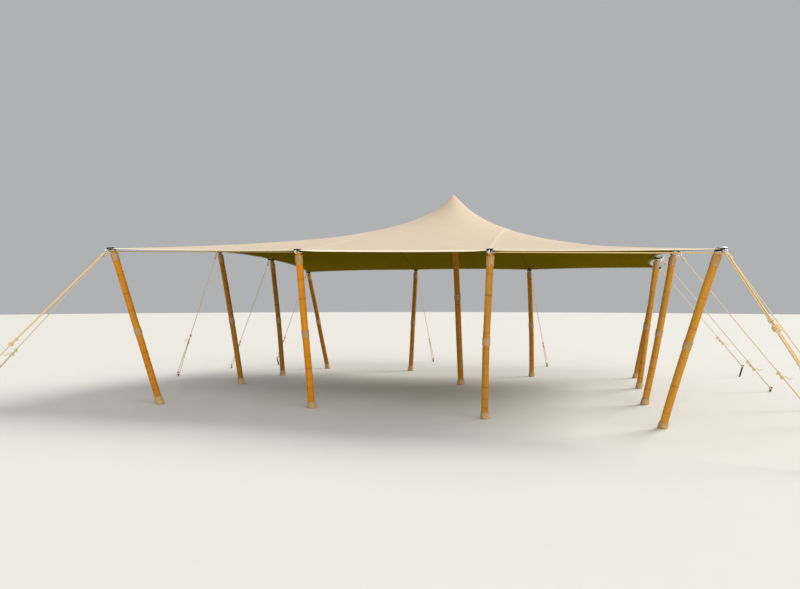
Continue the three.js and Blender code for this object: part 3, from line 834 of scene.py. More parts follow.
def cord_material(name, colour):
    """Twisted fibre: fine slanting threads, and patches that are darker from handling."""
    made, n, shader, _, uv, _ = material(name, 0.88)
    base = linear(colour)
    slant = n.new("ShaderNodeMapping", Rotation=(0.0, 0.0, 0.6), Vector=uv)
    fibre = n.noise(n.stretch(slant.outputs[0], (900.0, 120.0, 1.0)), 1.0, 3.0, 0.6)
    grime = use(n, blotch_group(), Vector=uv, Size=9.0)
    tint = n.tinge(scaled(base, 1.1), scaled(base, 0.7), fibre, 0.3, 0.7, 0.5)
    tint = n.tinge(tint, scaled(base, 0.6), grime, 0.5, 0.8, 0.6)
    finish(n, shader, tint, fibre, 0.0006, 0.6)
    return made


def worn_material(name, colour, worn, roughness, metallic, amount, relief=0.0003):
    """Coated or rusted metal and rubber: a coat with scuffs that show another colour."""
    made, n, shader, place, _, _ = material(name, roughness, metallic)
    scuff = use(n, wear_group(), Vector=place, Amount=amount)
    cloudy = use(n, blotch_group(), Vector=place, Size=22.0)
    base = linear(colour)
    tint = n.tinge(scaled(base, 0.8), scaled(base, 1.2), cloudy, 0.35, 0.65)
    tint = n.mix(n.times(scuff, 0.85), tint, linear(worn))
    n.set(shader, "Roughness", n.span(cloudy, 0.3, 0.7, roughness - 0.08, roughness + 0.1))
    finish(n, shader, tint, n.noise(place, 300.0, 3.0, 0.6), relief, 0.6)
    return made


# Settings

ColourProperty = partial(FloatVectorProperty, subtype="COLOR_GAMMA", size=3, min=0, max=1)
LengthProperty = partial(FloatProperty, unit="LENGTH")


class SheetSettings(bpy.types.PropertyGroup):
    """Cloth of the sheet and its webbing."""

    top: ColourProperty(
        name="Top", description="Colour of the sheet's upper side",
        default=(0.805, 0.738, 0.652))
    # The underside's dark olive is partly the cloth's own colour and partly painted shade, with painted
    # green light bounced up from grass in it.
    under: ColourProperty(
        name="Underside", description="Colour of the sheet's lower side",
        default=(0.425, 0.362, 0.03))
    webbing: ColourProperty(
        name="Webbing", description="Colour of the hems",
        default=(0.97, 0.92, 0.82))
    strap: ColourProperty(
        name="Straps", description="Colour of the edge straps",
        default=(0.87, 0.77, 0.53))
    thickness: LengthProperty(
        name="Thickness", description="Thickness of the sheet",
        default=0.0024, min=0.001, max=0.006)
    fold: LengthProperty(
        name="Folds", description="Height of the small folds at the clamps",
        default=0.006, min=0.0, max=0.01)


class PoleSettings(bpy.types.PropertyGroup):
    """Bamboo poles and what is bound to them."""

    straw: ColourProperty(
        name="Straw", description="Colour of the palest bamboo",
        default=(0.70, 0.52, 0.20))
    amber: ColourProperty(
        name="Amber", description="Colour of the deepest bamboo",
        default=(0.80, 0.49, 0.0))
    binding: ColourProperty(
        name="Binding", description="Colour of the tape bindings",
        default=(0.73, 0.57, 0.34))
    boot: ColourProperty(
        name="Boot", description="Colour of the bound feet",
        default=(0.78, 0.64, 0.42))


class HardwareSettings(bpy.types.PropertyGroup):
    """Clamps, shackles, cap and stakes."""

    clamp: ColourProperty(
        name="Clamps", description="Colour of the clamps' jaws and pads",
        default=(0.11, 0.11, 0.11))
    steel: ColourProperty(
        name="Steel", description="Colour of shackles and bolts",
        default=(0.93, 0.93, 0.91))
    stake: ColourProperty(
        name="Stake", description="Colour of the stakes",
        default=(0.20, 0.15, 0.12))
    bolt: LengthProperty(
        name="Bolt", description="Radius of a bolt's head",
        default=0.008, min=0.004, max=0.012)


class RopeSettings(bpy.types.PropertyGroup):
    """Guy ropes."""

    colour: ColourProperty(
        name="Rope", description="Colour of the guy ropes",
        default=(0.86, 0.79, 0.65))
    corner: ColourProperty(
        name="Corner rope", description="Colour of the thick corner ropes",
        default=(0.90, 0.80, 0.60))
    radius: LengthProperty(
        name="Radius", description="Radius of a guy rope",
        default=0.0075, min=0.004, max=0.01)
    tail: LengthProperty(
        name="Tail", description="Length of the loose end at a hitch",
        default=0.14, min=0.05, max=0.2)


class StageSettings(bpy.types.PropertyGroup):
    """Floor and light."""

    floor: ColourProperty(
        name="Floor", description="Colour of the floor",
        default=(0.85, 0.845, 0.83))
    sky: FloatProperty(
        name="Sky", description="Strength of the light from all round",
        default=0.45, min=0.0, max=3.0)
    key: FloatProperty(
        name="Key light", description="Strength of the light from behind, on the right",
        default=2.7, min=0.0, max=10.0)
    fill: FloatProperty(
        name="Fill light", description="Strength of the broad light from the front",
        default=1.7, min=0.0, max=10.0)


SETTINGS = {
    "tent_sheet": SheetSettings,
    "tent_poles": PoleSettings,
    "tent_hardware": HardwareSettings,
    "tent_ropes": RopeSettings,
    "tent_stage": StageSettings,
}


# Pieces

# Floor: radius of the fan that closes its middle, radius, sides, height of its lower side, and
# thickness, which leaves its top a millimetre under the tent
FLOOR_MIDDLE = 0.5
FLOOR_RADIUS = 70.0
FLOOR_SIDES = 96
FLOOR_LOW = -0.06
FLOOR_THICKNESS = 0.059

# Lights: name, how wide each is in the sky, its tilt and turn in degrees, and its colour
LIGHTS = [
    ("key", 28.0, 50.0, 130.0, (1.0, 0.96, 0.88)),
    ("fill", 70.0, 62.0, 30.0, (1.0, 0.98, 0.92)),
]
SKY_COLOUR = (0.97, 0.98, 1.0, 1.0)

# Camera where the photograph was taken: the eye, its tilt and turn in degrees, its lens and the
# width of its sensor in millimetres, and how far it sees in metres
EYE = (2.288, -12.075, 1.6)
EYE_TILT = 90.43
EYE_TURN = 16.08
LENS = 29.25
SENSOR_WIDTH = 36.0
FURTHEST = 300.0


class TENT_OT_stage(bpy.types.Operator):
    """Lays the floor, hangs the lights and sets the camera where the photograph was taken"""

    bl_idname = "tent.stage"
    bl_label = "Stage"

    def execute(self, context):
        settings = context.scene.tent_stage
        shape = Shape()
        section = [(FLOOR_MIDDLE, 0), (FLOOR_RADIUS, 0), (FLOOR_RADIUS, FLOOR_THICKNESS),
                   (FLOOR_MIDDLE, FLOOR_THICKNESS)]
        turned(shape, FLOOR_LOW * UP, UP, section, FLOOR_SIDES)
        made, n, shader, place, _, _ = material("floor", 0.9)
        base = linear(settings.floor)
        soft = use(n, blotch_group(), Vector=place, Size=0.5)
        n.set(shader, "Base Color", n.mix(soft, scaled(base, 0.97), scaled(base, 1.03)))
        floor = shape.piece("floor", [made])

        world = bpy.data.worlds.new("studio")
        world.use_nodes = True
        light = world.node_tree.nodes["Background"]
        light.inputs["Color"].default_value = SKY_COLOUR
        light.inputs["Strength"].default_value = settings.sky
        context.scene.world = world
        for name, size, tilt, turn, colour in LIGHTS:
            lamp = bpy.data.lights.new(name, "SUN")
            lamp.energy, lamp.color = getattr(settings, name), colour
            lamp.angle = math.radians(size)
            holder = bpy.data.objects.new(name, lamp)
            holder.rotation_euler = (math.radians(tilt), 0.0, math.radians(turn))
            context.scene.collection.objects.link(holder)

        camera = bpy.data.objects.new("camera", bpy.data.cameras.new("camera"))
        camera.location = EYE
        camera.rotation_euler = (math.radians(EYE_TILT), 0.0, math.radians(EYE_TURN))
        camera.data.lens, camera.data.sensor_width = LENS, SENSOR_WIDTH
        camera.data.clip_end = FURTHEST
        context.scene.collection.objects.link(camera)
        context.scene.camera = camera
        context.scene.view_settings.view_transform = "Standard"
        return {"FINISHED"}


class TENT_OT_sheet(bpy.types.Operator):
    """Stretches the sheet from the cap on the centre pole to the clamps"""

    bl_idname = "tent.sheet"
    bl_label = "Sheet"

    def execute(self, context):
        """The middle surface is drawn half the thickness down and up, and closed at the edge."""
        settings = context.scene.tent_sheet
        steps = np.arange(len(POLES) * BAY_STEPS) / BAY_STEPS
        t = ((np.arange(SHEET_RINGS) + 1) / SHEET_RINGS) ** RING_POWER
        middle = eased(sheet_middle(edge_line(steps), t), t)
        middle[..., 2] += folds(middle, t, settings.fold)
        half = settings.thickness / 2 * UP
        under, top = middle - half, (middle + half)[::-1]
        rings = np.concatenate([under, top])
        closed = np.concatenate([rings, rings[:, :1]], axis=1)
        shape = Shape()
        slots = np.where(np.arange(len(rings) - 1) < SHEET_RINGS, 1, 0)
        shape.skin(rings, closed[..., :2], slots, (PEAK - half, PEAK + half))
        # The top's lap is brightened as a painted highlight and the underside's darkened as painted
        # shade.
        top_cloth = sheet_material("sheet_top", settings.top, specular=0.3, sheen=0.1,
                                   seam=0.025, lap_highlight_and_shade=1.17, patch=0.04)
        # The underside cloth's colour is partly painted shade.
        under_cloth = sheet_material("sheet_underside", settings.under, specular=0.0, sheen=0.0,
                                     seam=0.019, lap_highlight_and_shade=0.74, patch=0.08)
        piece = shape.piece("sheet", [top_cloth, under_cloth], crease=60.0)
        settle(piece, "canopy")
        return {"FINISHED"}


# Section of a hem as distances out from the sheet's edge and up from it, its width, how far its
# outer side drops, how much further that hangs in each bay, and how far out a mitre may reach
HEM_SECTION = np.array([
    (-0.006, -0.0046), (0.010, -0.0058), (0.022, -0.0056), (0.030, -0.0042), (0.0336, -0.0016),
    (0.0336, 0.0016), (0.030, 0.0042), (0.022, 0.0056), (0.010, 0.0058), (-0.006, 0.0046)])
HEM_WIDTH = 0.034
HEM_DROP = 0.004
HEM_HANG = np.array([0.003, 0.013, 0.003] + [0.0] * 9)
HEM_REACH_MAX = 0.040

# The further hang of a bay comes in beside the clamps by this times a share of the bay and the rest
HEM_EASE = 12.0


class TENT_OT_hems(bpy.types.Operator):
    """Sews a webbing hem along each side of the sheet"""

    bl_idname = "tent.hems"
    bl_label = "Hems"

    def execute(self, context):
        """A flattened section is carried along the edge and stands off it square to it."""
        settings = context.scene.tent_sheet
        # The hems' lower side takes the underside's colour as painted shade.
        tape = webbing_material("webbing", settings.webbing, settings.under)
        round_it = lengths(np.concatenate([HEM_SECTION, HEM_SECTION[:1]]))
        for name, first in SIDES:
            places = first + np.arange(BAYS_A_SIDE * BAY_STEPS + 1) / BAY_STEPS
            line = edge_line(places)
            start = outward(edge_line(places - 1 / BAY_STEPS), line)
            way = unit(start + outward(line, edge_line(places + 1 / BAY_STEPS)))
            reach = HEM_SECTION[None, :, 0] / np.einsum("rx,rx->r", way, start)[:, None]
            reach = np.minimum(reach, HEM_REACH_MAX)
            bay = np.floor(places).astype(int)
            share = places - bay
            hang = HEM_HANG[bay % len(POLES)] * np.clip(HEM_EASE * share * (1 - share), 0, 1)
            drop = (HEM_DROP + hang)[:, None] * HEM_SECTION[:, 0] / HEM_WIDTH
            rise = HEM_SECTION[:, 1] - drop
            rings = line[:, None] + reach[..., None] * way[:, None] + rise[..., None] * UP
            uv = np.stack(np.broadcast_arrays(round_it[None, :], lengths(line)[:, None]), -1)
            shape = Shape()
            shape.skin(rings, uv)
            settle(shape.piece("hem_tape_" + name, [tape]), "hem_" + name)
        return {"FINISHED"}


# Edge strap: its radius, steps and sides, its heights at the head of the corner pole and at the
# clamp, and how far it keeps from the middles of both. Two turns of lashing go round the corner
# pole's neck from a place under its head, and a tie goes on from a little outside the pole to the
# shackle.
STRAP_RADIUS = 0.0075
STRAP_STEPS = 80
STRAP_SIDES = 12
STRAP_AT_CORNER = -0.012
STRAP_AT_CLAMP = 0.012
STRAP_FROM_CORNER = 0.036
STRAP_FROM_CLAMP = 0.057
LASHING_RADIUS = 0.006
LASHING_STEPS = 60
LASHING_SIDES = 8
LASHING_TURNS = 2
LASHING_LOW = -0.020
LASHING_PITCH = 0.010
NECK_RADIUS = 0.035
TIE_START = 0.04
TIE_DROP = 0.01


class TENT_OT_straps(bpy.types.Operator):
    """Pulls the tight edge straps under the outer bays of the front"""

    bl_idname = "tent.straps"
    bl_label = "Edge straps"

    def execute(self, context):
        """Strap and tie are straight bars, and the lashing is a screw line round the neck."""
        settings = context.scene.tent_sheet
        share = np.linspace(0, 1, STRAP_STEPS)[:, None]
        for name, corner, other, tone in STRAPS:
            # Painted shade: the strap's colour is scaled by its brightness, which darkens the front left
            # one.
            tape = webbing_material("strap_" + name, scaled(settings.strap, tone))
            a = HEADS[corner] + STRAP_AT_CORNER * UP
            b = HEADS[other] + STRAP_AT_CLAMP * UP
            way = unit(b - a)
            shape = Shape()
            start, end = a + STRAP_FROM_CORNER * way, b - STRAP_FROM_CLAMP * way
            strand(shape, start + share * (end - start), STRAP_RADIUS, UP, STRAP_SIDES)
            turn = np.linspace(0, 2 * math.pi * LASHING_TURNS, LASHING_STEPS)[:, None]
            lashing = (HEADS[corner] + (NECK_RADIUS + LASHING_RADIUS)
                       * (np.cos(turn) * flat(way) + np.sin(turn) * np.cross(UP, way))
                       + (LASHING_LOW + LASHING_PITCH * turn / (2 * math.pi)) * UP)
            strand(shape, lashing, LASHING_RADIUS, UP, LASHING_SIDES)
            ring = next(line["ring"] for line in LINES if line["pole"] == corner)
            start, end = a + TIE_START * unit(flat(ring - a)), ring - TIE_DROP * UP
            strand(shape, start + share * (end - start), LASHING_RADIUS, UP, LASHING_SIDES)
            settle(shape.piece("edge_strap_" + name, [tape]), "strap_" + name)
        return {"FINISHED"}


# Bindings of a pole: height of the band and its distance from the top, height of the joint sleeve
# and its place as a share of the length, with the poles where it sits higher, and width of the tape
BAND_HEIGHT = 0.130
BAND_FROM_TOP = 0.032
SLEEVE_HEIGHT = 0.105
SLEEVE_PLACE = 0.48
RAISED_SLEEVES = {"front_mid_left": 0.492, "front_right": 0.493}
TAPE_WIDTH = 0.026

# How far the bindings stand out from the culm, and how far they reach into it
SLEEVE_PROUD = 0.0055
BAND_PROUD = 0.0045
BINDING_DEPTH = 0.004

# Profile of a turn of tape: how far each point lies under the binding's radius and over the turn's
# lower edge, the last point, which counts from its upper edge, and the marks of all four
TURN_START = [(0.0012, 0.0), (0.0002, 0.0010), (0.0, 0.0040)]
TURN_END = (0.0005, 0.0012)
TURN_MARKS = [1.0, 0.4, 0.0, 0.0]

# Boot: shares of its height, how far it stands out from the culm at each, and the marks there
BOOT_SHARES = np.array([0.0, 0.05, 0.13, 0.25, 0.45, 0.70, 0.90, 0.97, 1.0])
BOOT_SWELL = np.array([0.0090, 0.0125, 0.0142, 0.0145, 0.0130, 0.0100, 0.0068, 0.0052, -0.002])
BOOT_MARKS = np.array([1.0, 0.6, 0.1, 0.0, 0.0, 0.0, 0.5, 1.0, 1.0])

# Level direction to the right of the view from the front, in which the culms bow, and how far and
# how fast a culm wavers in two directions square to the pole
SIDEWAYS = np.array([0.961, 0.277, 0.0])
SWING = (0.003, 5.1)
SWAY = (0.002, 3.7)

# Sides of a pole, steps of its profile from end to end and about each ring, its girth at the butt
# and how much of it the top has lost, over what lengths it turns level at an end and at an edge
# pole's neck, and the shoulder there, as pairs of radius and distance below its head
POLE_SIDES = 28
POLE_STEPS = 46
RING_STEPS = np.array([-0.010, -0.005, -0.002, 0.0, 0.003, 0.006, 0.011])
BUTT = 1.01
TAPER = 0.03
LEVEL_END = 0.1
LEVEL_NECK = 0.05
SHOULDER = [(0.047, 0.046), (0.043, 0.034), (0.037, 0.024), (0.0345, 0.016), (0.0345, 0.0)]

# Ridge of a culm's ring, the hollow over it and its dark mark: height, place and half width of each
RIDGE = (0.0018, 0.0, 0.004)
HOLLOW = (0.0012, 0.007, 0.003)
STAIN = (1.0, 0.002, 0.007)

# Gaps from ring to ring on the poles whose rings aren't listed: on the lower culm as shares of its
# length, and on the upper one in metres. Then where each culm's first gap starts over its butt, and
# how far the rings keep from boot and band
LOWER_GAPS = np.linspace(0.11, 0.2, 7)
UPPER_GAPS = np.linspace(0.25, 0.38, 6)
LOWER_START = 0.06
UPPER_START = 0.10
RING_CLEARANCE = 0.03


def ring_places(name, length, seed, low, high):
    """Heights and strengths of a pole's rings: the listed ones, or else as bamboo grows.

    A pole is two culms, and on each the rings stand close at the butt and wider apart above.
    """
    if name in RINGS:
        return np.array(RINGS[name]).T
    random = np.random.default_rng(seed)
    joint = length * SLEEVE_PLACE
    lower = joint * np.cumsum(random.uniform(0.85, 1.15, len(LOWER_GAPS)) * LOWER_GAPS)
    upper = np.cumsum(random.uniform(0.9, 1.1, len(UPPER_GAPS)) * UPPER_GAPS)
    found = np.concatenate([lower + LOWER_START, joint + UPPER_START + upper])
    found = found[(found > low + RING_CLEARANCE) & (found < high - RING_CLEARANCE)]
    return found, random.uniform(0.3, 0.9, len(found))


def culm_bend(height, length, axis, bow, seed):
    """How far the middle line of a culm stands off the straight line at each height.

    A parabola bows it sideways as seen from the front, and it wavers by a few millimetres.
    """
    share = np.clip(np.asarray(height) / length, 0, 1)
    waver = np.sin(share * math.pi)
    first, second = basis(unit(axis))
    swing = SWING[0] * waver * np.sin(seed + SWING[1] * share * length)
    sway = SWAY[0] * waver * np.cos(2 * seed + SWAY[1] * share * length)
    return ((4 * bow * share * (1 - share))[:, None] * SIDEWAYS
            + swing[:, None] * first + sway[:, None] * second)


def tape_turns(low, high, inner, radius):
    """Profile and marks of a tape binding: turns that lap like scales, with rounded edges."""
    turns = max(int(round((high - low) / TAPE_WIDTH)), 2)
    edges = np.linspace(low, high, turns + 1)
    profile, marks = [(inner, low)], [0.0]
    for start, end in zip(edges[:-1], edges[1:]):
        profile += [(radius - under, start + above) for under, above in TURN_START]
        profile.append((radius - TURN_END[0], end - TURN_END[1]))
        marks += TURN_MARKS
    return profile + [(inner, high)], marks + [0.0]


def boot_profile(height, radius):
    """Profile and marks of a boot: a soft bound foot, widest near the ground, rounded there."""
    return np.stack([radius + BOOT_SWELL, BOOT_SHARES * height], -1), BOOT_MARKS


def pole(shape, name, foot, head, seed, look):
    """A bamboo pole with its rings, bindings and boot.

    The culm's radius is a slow taper, plus a narrow ridge at each ring and less a hollow over it,
    which are bell curves.
    """
    bow, girth, boot_height = look[2:]
    radius = POLE_RADIUS * girth
    plain_top = name == "centre"
    axis = head - foot
    length = float(np.linalg.norm(axis))
    neck = 0.0 if plain_top else BAND_FROM_TOP
    top = length - neck - (0.0 if plain_top else BAND_HEIGHT)
    rings, strengths = ring_places(name, length, seed, boot_height, top)
    along = [np.linspace(0, length - neck, POLE_STEPS)] + [ring + RING_STEPS for ring in rings]
    along = np.unique(np.concatenate(along).round(5))

    def bells(height, place, width):
        distance = along[:, None] - rings[None, :] - place
        return height * (strengths * np.exp(-(distance / width) ** 2)).max(1)

    size = radius * (BUTT - TAPER * along / length) + bells(*RIDGE) - bells(*HOLLOW)
    profile, marks = list(zip(size, along)), list(bells(*STAIN))
    if not plain_top:
        profile += [(shoulder, length - below) for shoulder, below in SHOULDER]
        marks += [0.0] * len(SHOULDER)
    low = length * RAISED_SLEEVES.get(name, SLEEVE_PLACE) - SLEEVE_HEIGHT / 2
    inner = radius - BINDING_DEPTH
    parts = [
        (profile, marks, 0, (LEVEL_END, LEVEL_END if plain_top else LEVEL_NECK)),
        (*tape_turns(low, low + SLEEVE_HEIGHT, inner, radius + SLEEVE_PROUD), 1, (0.0, 0.0)),
        (*boot_profile(boot_height, radius), 2, (LEVEL_END, 0.0)),
    ]
    if not plain_top:
        band = tape_turns(top, top + BAND_HEIGHT, inner, radius + BAND_PROUD)
        parts.append((*band, 1, (0.0, 0.0)))
    for profile, marks, slot, level in parts:
        bend = culm_bend(np.array(profile)[:, 1], length, axis, bow, seed)
        turned(shape, foot, axis, profile, POLE_SIDES, slot, level, marks, bend)


class TENT_OT_poles(bpy.types.Operator):
    """Stands the centre pole and the twelve edge poles"""

    bl_idname = "tent.poles"
    bl_label = "Poles"

    def execute(self, context):
        settings = context.scene.tent_poles
        binding = tape_material("binding", settings.binding, 0.82)
        boot = tape_material("boot", settings.boot, 0.62)
        head = np.array([PEAK[0], PEAK[1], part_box("cap_centre")[0][2]])
        places = [("centre", np.zeros(3), head, CENTRE_LOOK)]
        places += list(zip(NAMES, FEET, HEADS, LOOKS))
        for k, (name, foot, head, look) in enumerate(places):
            tone, brightness_and_painted_light = look[:2]
            bamboo = bamboo_material("bamboo_" + name, settings.straw, settings.amber, tone, brightness_and_painted_light)
            shape = Shape()
            pole(shape, name, foot, head, k, look)
            piece = shape.piece("bamboo_" + name, [bamboo, binding, boot], crease=40.0)
            settle(piece, "pole_" + name)
        return {"FINISHED"}


# Cap: how far out it reaches, as a share of the way to the sheet's edge, in how many steps, at how
# many places in a bay the sheet's height is taken, and how far its dome keeps under the middle of
# the sheet. Then the radius of its flat underside, its rounded rim, as pairs of distance from the
# full radius and height, the radius and depth of the small flat on its tip, its sides, and the
# colours of its rubber
CAP_REACH = 0.033
CAP_STEPS = 9
CAP_PLACES = 4
CAP_CLEARANCE = 0.004
CAP_FLAT = 0.05
CAP_RIM = [(0.004, 0.001), (0.0, 0.006)]
CAP_TIP = (0.002, 0.0005)
CAP_SIDES = 32
RUBBER = (0.12, 0.11, 0.10)
WORN_RUBBER = (0.30, 0.28, 0.25)


class TENT_OT_cap(bpy.types.Operator):
    """Sets the rubber cap between the centre pole and the tip of the sheet"""

    bl_idname = "tent.cap"
    bl_label = "Cap"

    def execute(self, context):
        """A turned dome whose top keeps a little under the middle surface of the sheet."""
        rim = edge_line(np.arange(len(POLES) * CAP_PLACES) / CAP_PLACES)
        under = sheet_middle(rim, np.linspace(0, CAP_REACH, CAP_STEPS)[1:])
        radius = np.linalg.norm(flat(under - PEAK), axis=-1).min(1)
        height = under[..., 2].min(1) - CAP_CLEARANCE
        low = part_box("cap_centre")[0][2]
        profile = [(CAP_FLAT, low)] + [(radius[-1] - inset, low + up) for inset, up in CAP_RIM]
        profile += list(zip(radius[::-1], height[::-1]))
        profile.append((CAP_TIP[0], PEAK[2] - CAP_CLEARANCE - CAP_TIP[1]))
        shape = Shape()
        turned(shape, flat(PEAK), UP, profile, CAP_SIDES)
        rubber = worn_material("cap_rubber", RUBBER, WORN_RUBBER, roughness=0.7, metallic=0.0,
                               amount=0.1)
        settle(shape.piece("cap", [rubber]), "cap_centre")
        return {"FINISHED"}


# Slots of a clamp's materials
COAT, STEEL = 0, 1

# Parts of a bolt, which are the upper washer, the head, the lower washer, the nut and the shank:
# size against the radius of the head, sides, lowest and highest place, each as the face of the jaws
# from which it counts, lower or upper, and the distance over that, and bevel
LOWER, UPPER = 0, 1
BOLT_PARTS = [
    (1.4, 16, (UPPER, 0.0), (UPPER, 0.0016), 0.0004),
    (1.0, 6, (UPPER, 0.0014), (UPPER, 0.0060), 0.0008),
    (1.4, 16, (LOWER, -0.0016), (LOWER, 0.0), 0.0004),
    (1.0, 6, (LOWER, -0.0062), (LOWER, -0.0014), 0.0008),
    (0.5, 16, (LOWER, -0.0100), (UPPER, 0.0020), 0.0006),
]


def bolt(shape, place, x, y, faces, radius):
    """A bolt through both jaws at a place, with the heights of their lower and upper face."""
    for size, sides, (bottom, below), (top, above), bevel in BOLT_PARTS:
        outline = disc(x, y, size * radius, sides)
        slab(shape, place, outline, faces[bottom] + below, faces[top] + above, bevel, STEEL)


# Shackle: radius of its bow to the middle of its bar, radius and sides of the bar, and how far the
# bow turns to each side and in how many steps. Then the pin: radius, its place behind the bow's
# middle as a share of its radius, its half length, its steps, the places of the eyes that it goes
# through, and their profile
BOW_RADIUS = RING_RADIUS - 0.001
BAR_RADIUS = 0.0055
BAR_SIDES = 12
BOW_TURN = 2.25
BOW_STEPS = 40
PIN_RADIUS = 0.0048
PIN_PLACE = 0.63
PIN_REACH = 0.026
PIN_STEPS = 6
PIN_EYES = (-0.019, 0.019)
PIN_EYE = [(0.0088, -0.004), (0.0095, -0.003), (0.0095, 0.003), (0.0088, 0.004)]

# How far a shackle without a rope droops, against how far it points out
SPARE_DROOP = 0.5


def shackle(shape, line):
    """A bow shackle: three quarters of a ring, with a pin across its open side."""
    ring, pull, side = line["ring"], line["pull"], line["sideways"]
    across = np.cross(side, pull)
    turn = np.linspace(-BOW_TURN, BOW_TURN, BOW_STEPS)[:, None]
    bow = ring + BOW_RADIUS * (np.cos(turn) * pull + np.sin(turn) * across)
    strand(shape, bow, BAR_RADIUS, side, BAR_SIDES, STEEL)
    pin = ring - PIN_PLACE * BOW_RADIUS * pull
    share = np.linspace(-1, 1, PIN_STEPS)[:, None]
    strand(shape, pin + PIN_REACH * share * across, PIN_RADIUS, pull, BAR_SIDES, STEEL)
    for eye in PIN_EYES:
        turned(shape, pin + eye * across, across, PIN_EYE, BAR_SIDES, STEEL)


def spare_shackle(i):
    """Place of the shackle on a clamp that has no rope: it droops from the middle of the jaws."""
    pull = unit(OUTWARDS[i] - SPARE_DROOP * UP)
    seat = clamp_frame(i)(np.array([JAW_REACH - RING_INSET, 0.0, LIFTS[i] - RING_DROP]))
    return {"ring": seat + (RING_RADIUS - RING_SEAT) * pull, "pull": pull,
            "sideways": left_of(OUTWARDS[i])}


# Clamp: profiles of the flange on the pole's head and of the foot of the pad on it, with heights
# over the head, radius of the pad at its middle, and profiles of its top and of the crown on the
# jaws. Then its plates, each with its outline, lowest and highest face and bevel: the upper and the
# lower jaw, and a spacer between them at their edge. Then the places of its bolts and the faces
# that they hold. All heights after the pad's foot are over the middle of the sheet.
FLANGE = [(0.052, 0.0006), (0.0565, 0.0016), (0.0565, 0.0050), (0.050, 0.0058)]
PAD_FOOT = [(0.036, 0.0050), (0.046, 0.0060)]
PAD_MIDDLE = 0.047
PAD_TOP = [(0.046, -0.0190), (0.036, -0.0170)]
CROWN = [(0.034, 0.0130), (0.036, 0.0150), (0.033, 0.0185), (0.012, 0.0198)]
JAW = rounded(-0.030, JAW_REACH, -JAW_WIDTH / 2, JAW_WIDTH / 2, 0.016)
SPACER = rounded(0.066, JAW_REACH - 0.003, 0.003 - JAW_WIDTH / 2, JAW_WIDTH / 2 - 0.003, 0.008)
PLATES = [(JAW, 0.0060, 0.0140, 0.0025), (JAW, -0.0180, -0.0102, 0.0025),
          (SPACER, -0.0110, 0.0070, 0.001)]
BOLTS = [(0.075, 0.029), (0.075, -0.029), (-0.014, 0.030), (-0.014, -0.030)]
BOLTED = (-0.018, 0.014)

# The clamp whose upper jaw is bare steel, and the colours of worn coat and worn steel
BARE_CLAMP = "front_right"
WORN_COAT = (0.55, 0.54, 0.52)
WORN_STEEL = (0.60, 0.59, 0.57)


def clamp(shape, i, bolt_radius):
    """A clamp over an edge pole: flange, rubber pad, two jaws with a spacer, crown and bolts."""
    place, lift = clamp_frame(i), float(LIFTS[i])
    halfway = (PAD_FOOT[0][1] + PAD_TOP[-1][1] + lift) / 2
    pad = PAD_FOOT + [(PAD_MIDDLE, halfway)] + [(r, lift + h) for r, h in PAD_TOP]
    turned(shape, HEADS[i], UP, FLANGE, POLE_SIDES, STEEL)
    turned(shape, HEADS[i], UP, pad, POLE_SIDES, COAT)
    for k, (outline, low, high, bevel) in enumerate(PLATES):
        slot = STEEL if k == 0 and NAMES[i] == BARE_CLAMP else COAT
        slab(shape, place, outline, lift + low, lift + high, bevel, slot)
    turned(shape, HEADS[i], UP, [(r, lift + h) for r, h in CROWN], POLE_SIDES, COAT)
    faces = [lift + height for height in BOLTED]
    for x, y in BOLTS:
        bolt(shape, place, x, y, faces, bolt_radius)
    for line in [line for line in LINES if line["pole"] == i] or [spare_shackle(i)]:
        shackle(shape, line)


class TENT_OT_clamps(bpy.types.Operator):
    """Bolts a clamp over each edge pole and hangs its shackles"""

    bl_idname = "tent.clamps"
    bl_label = "Clamps"

    def execute(self, context):
        settings = context.scene.tent_hardware
        coat = worn_material("clamp_coat", settings.clamp, WORN_COAT, roughness=0.45,
                             metallic=0.15, amount=0.12)
        steel = worn_material("bright_steel", settings.steel, WORN_STEEL, roughness=0.32,
                              metallic=0.75, amount=0.06)
        for i, name in enumerate(NAMES):
            shape = Shape()
            clamp(shape, i, settings.bolt)
            piece = shape.piece("collar_" + name, [coat, steel], crease=30.0)
            settle(piece, "clamp_" + name)
        return {"FINISHED"}


def straight(a, b):
    """Points from a to b, about one step of rope apart."""
    count = max(int(np.linalg.norm(b - a) / ROPE_STEP), 2)
    return a + np.linspace(0, 1, count)[:, None] * (b - a)


def coil(start, axis, first, wide, deep, length, turns, steps):
    """Points of an oval screw line about an axis, wide along first and deep square to it."""
    second = np.cross(axis, first)
    share = np.linspace(0, 1, int(turns * steps))[:, None]
    turn = 2 * math.pi * turns * share
    return (start + share * length * axis
            + wide * np.cos(turn) * first + deep * np.sin(turn) * second)


def away_from(path, start, axis):
    """Directions away from the axis of a screw line, for the frame of its rings."""
    away = path - start
    return unit(away - (away @ axis)[:, None] * axis)


# Rope: rough distance from ring to ring, sides and strands of its section, and the length in which
# its strands turn once, against its radius
ROPE_STEP = 0.0065
ROPE_SIDES = 9
ROPE_STRANDS = 3
LAY = 12.0

# Turns of a hitch: steps in a turn, sides of the section, and pitch against the rope's radius
COIL_STEPS = 14
COIL_SIDES = 8
COIL_PITCH = 2.05

# A rope round a shackle: steps of the half circle. Then the knot of a single rope over its eye:
# half the gap that it closes, and how wide and deep a core it goes round, against the rope's
# radius, the place of its middle past the eye, and its turns
BEND_STEPS = 12
KNOT_GAP = 0.5
KNOT_CORE = (1.5, 1.0)
KNOT_PLACE = 0.002
KNOT_TURNS = 3

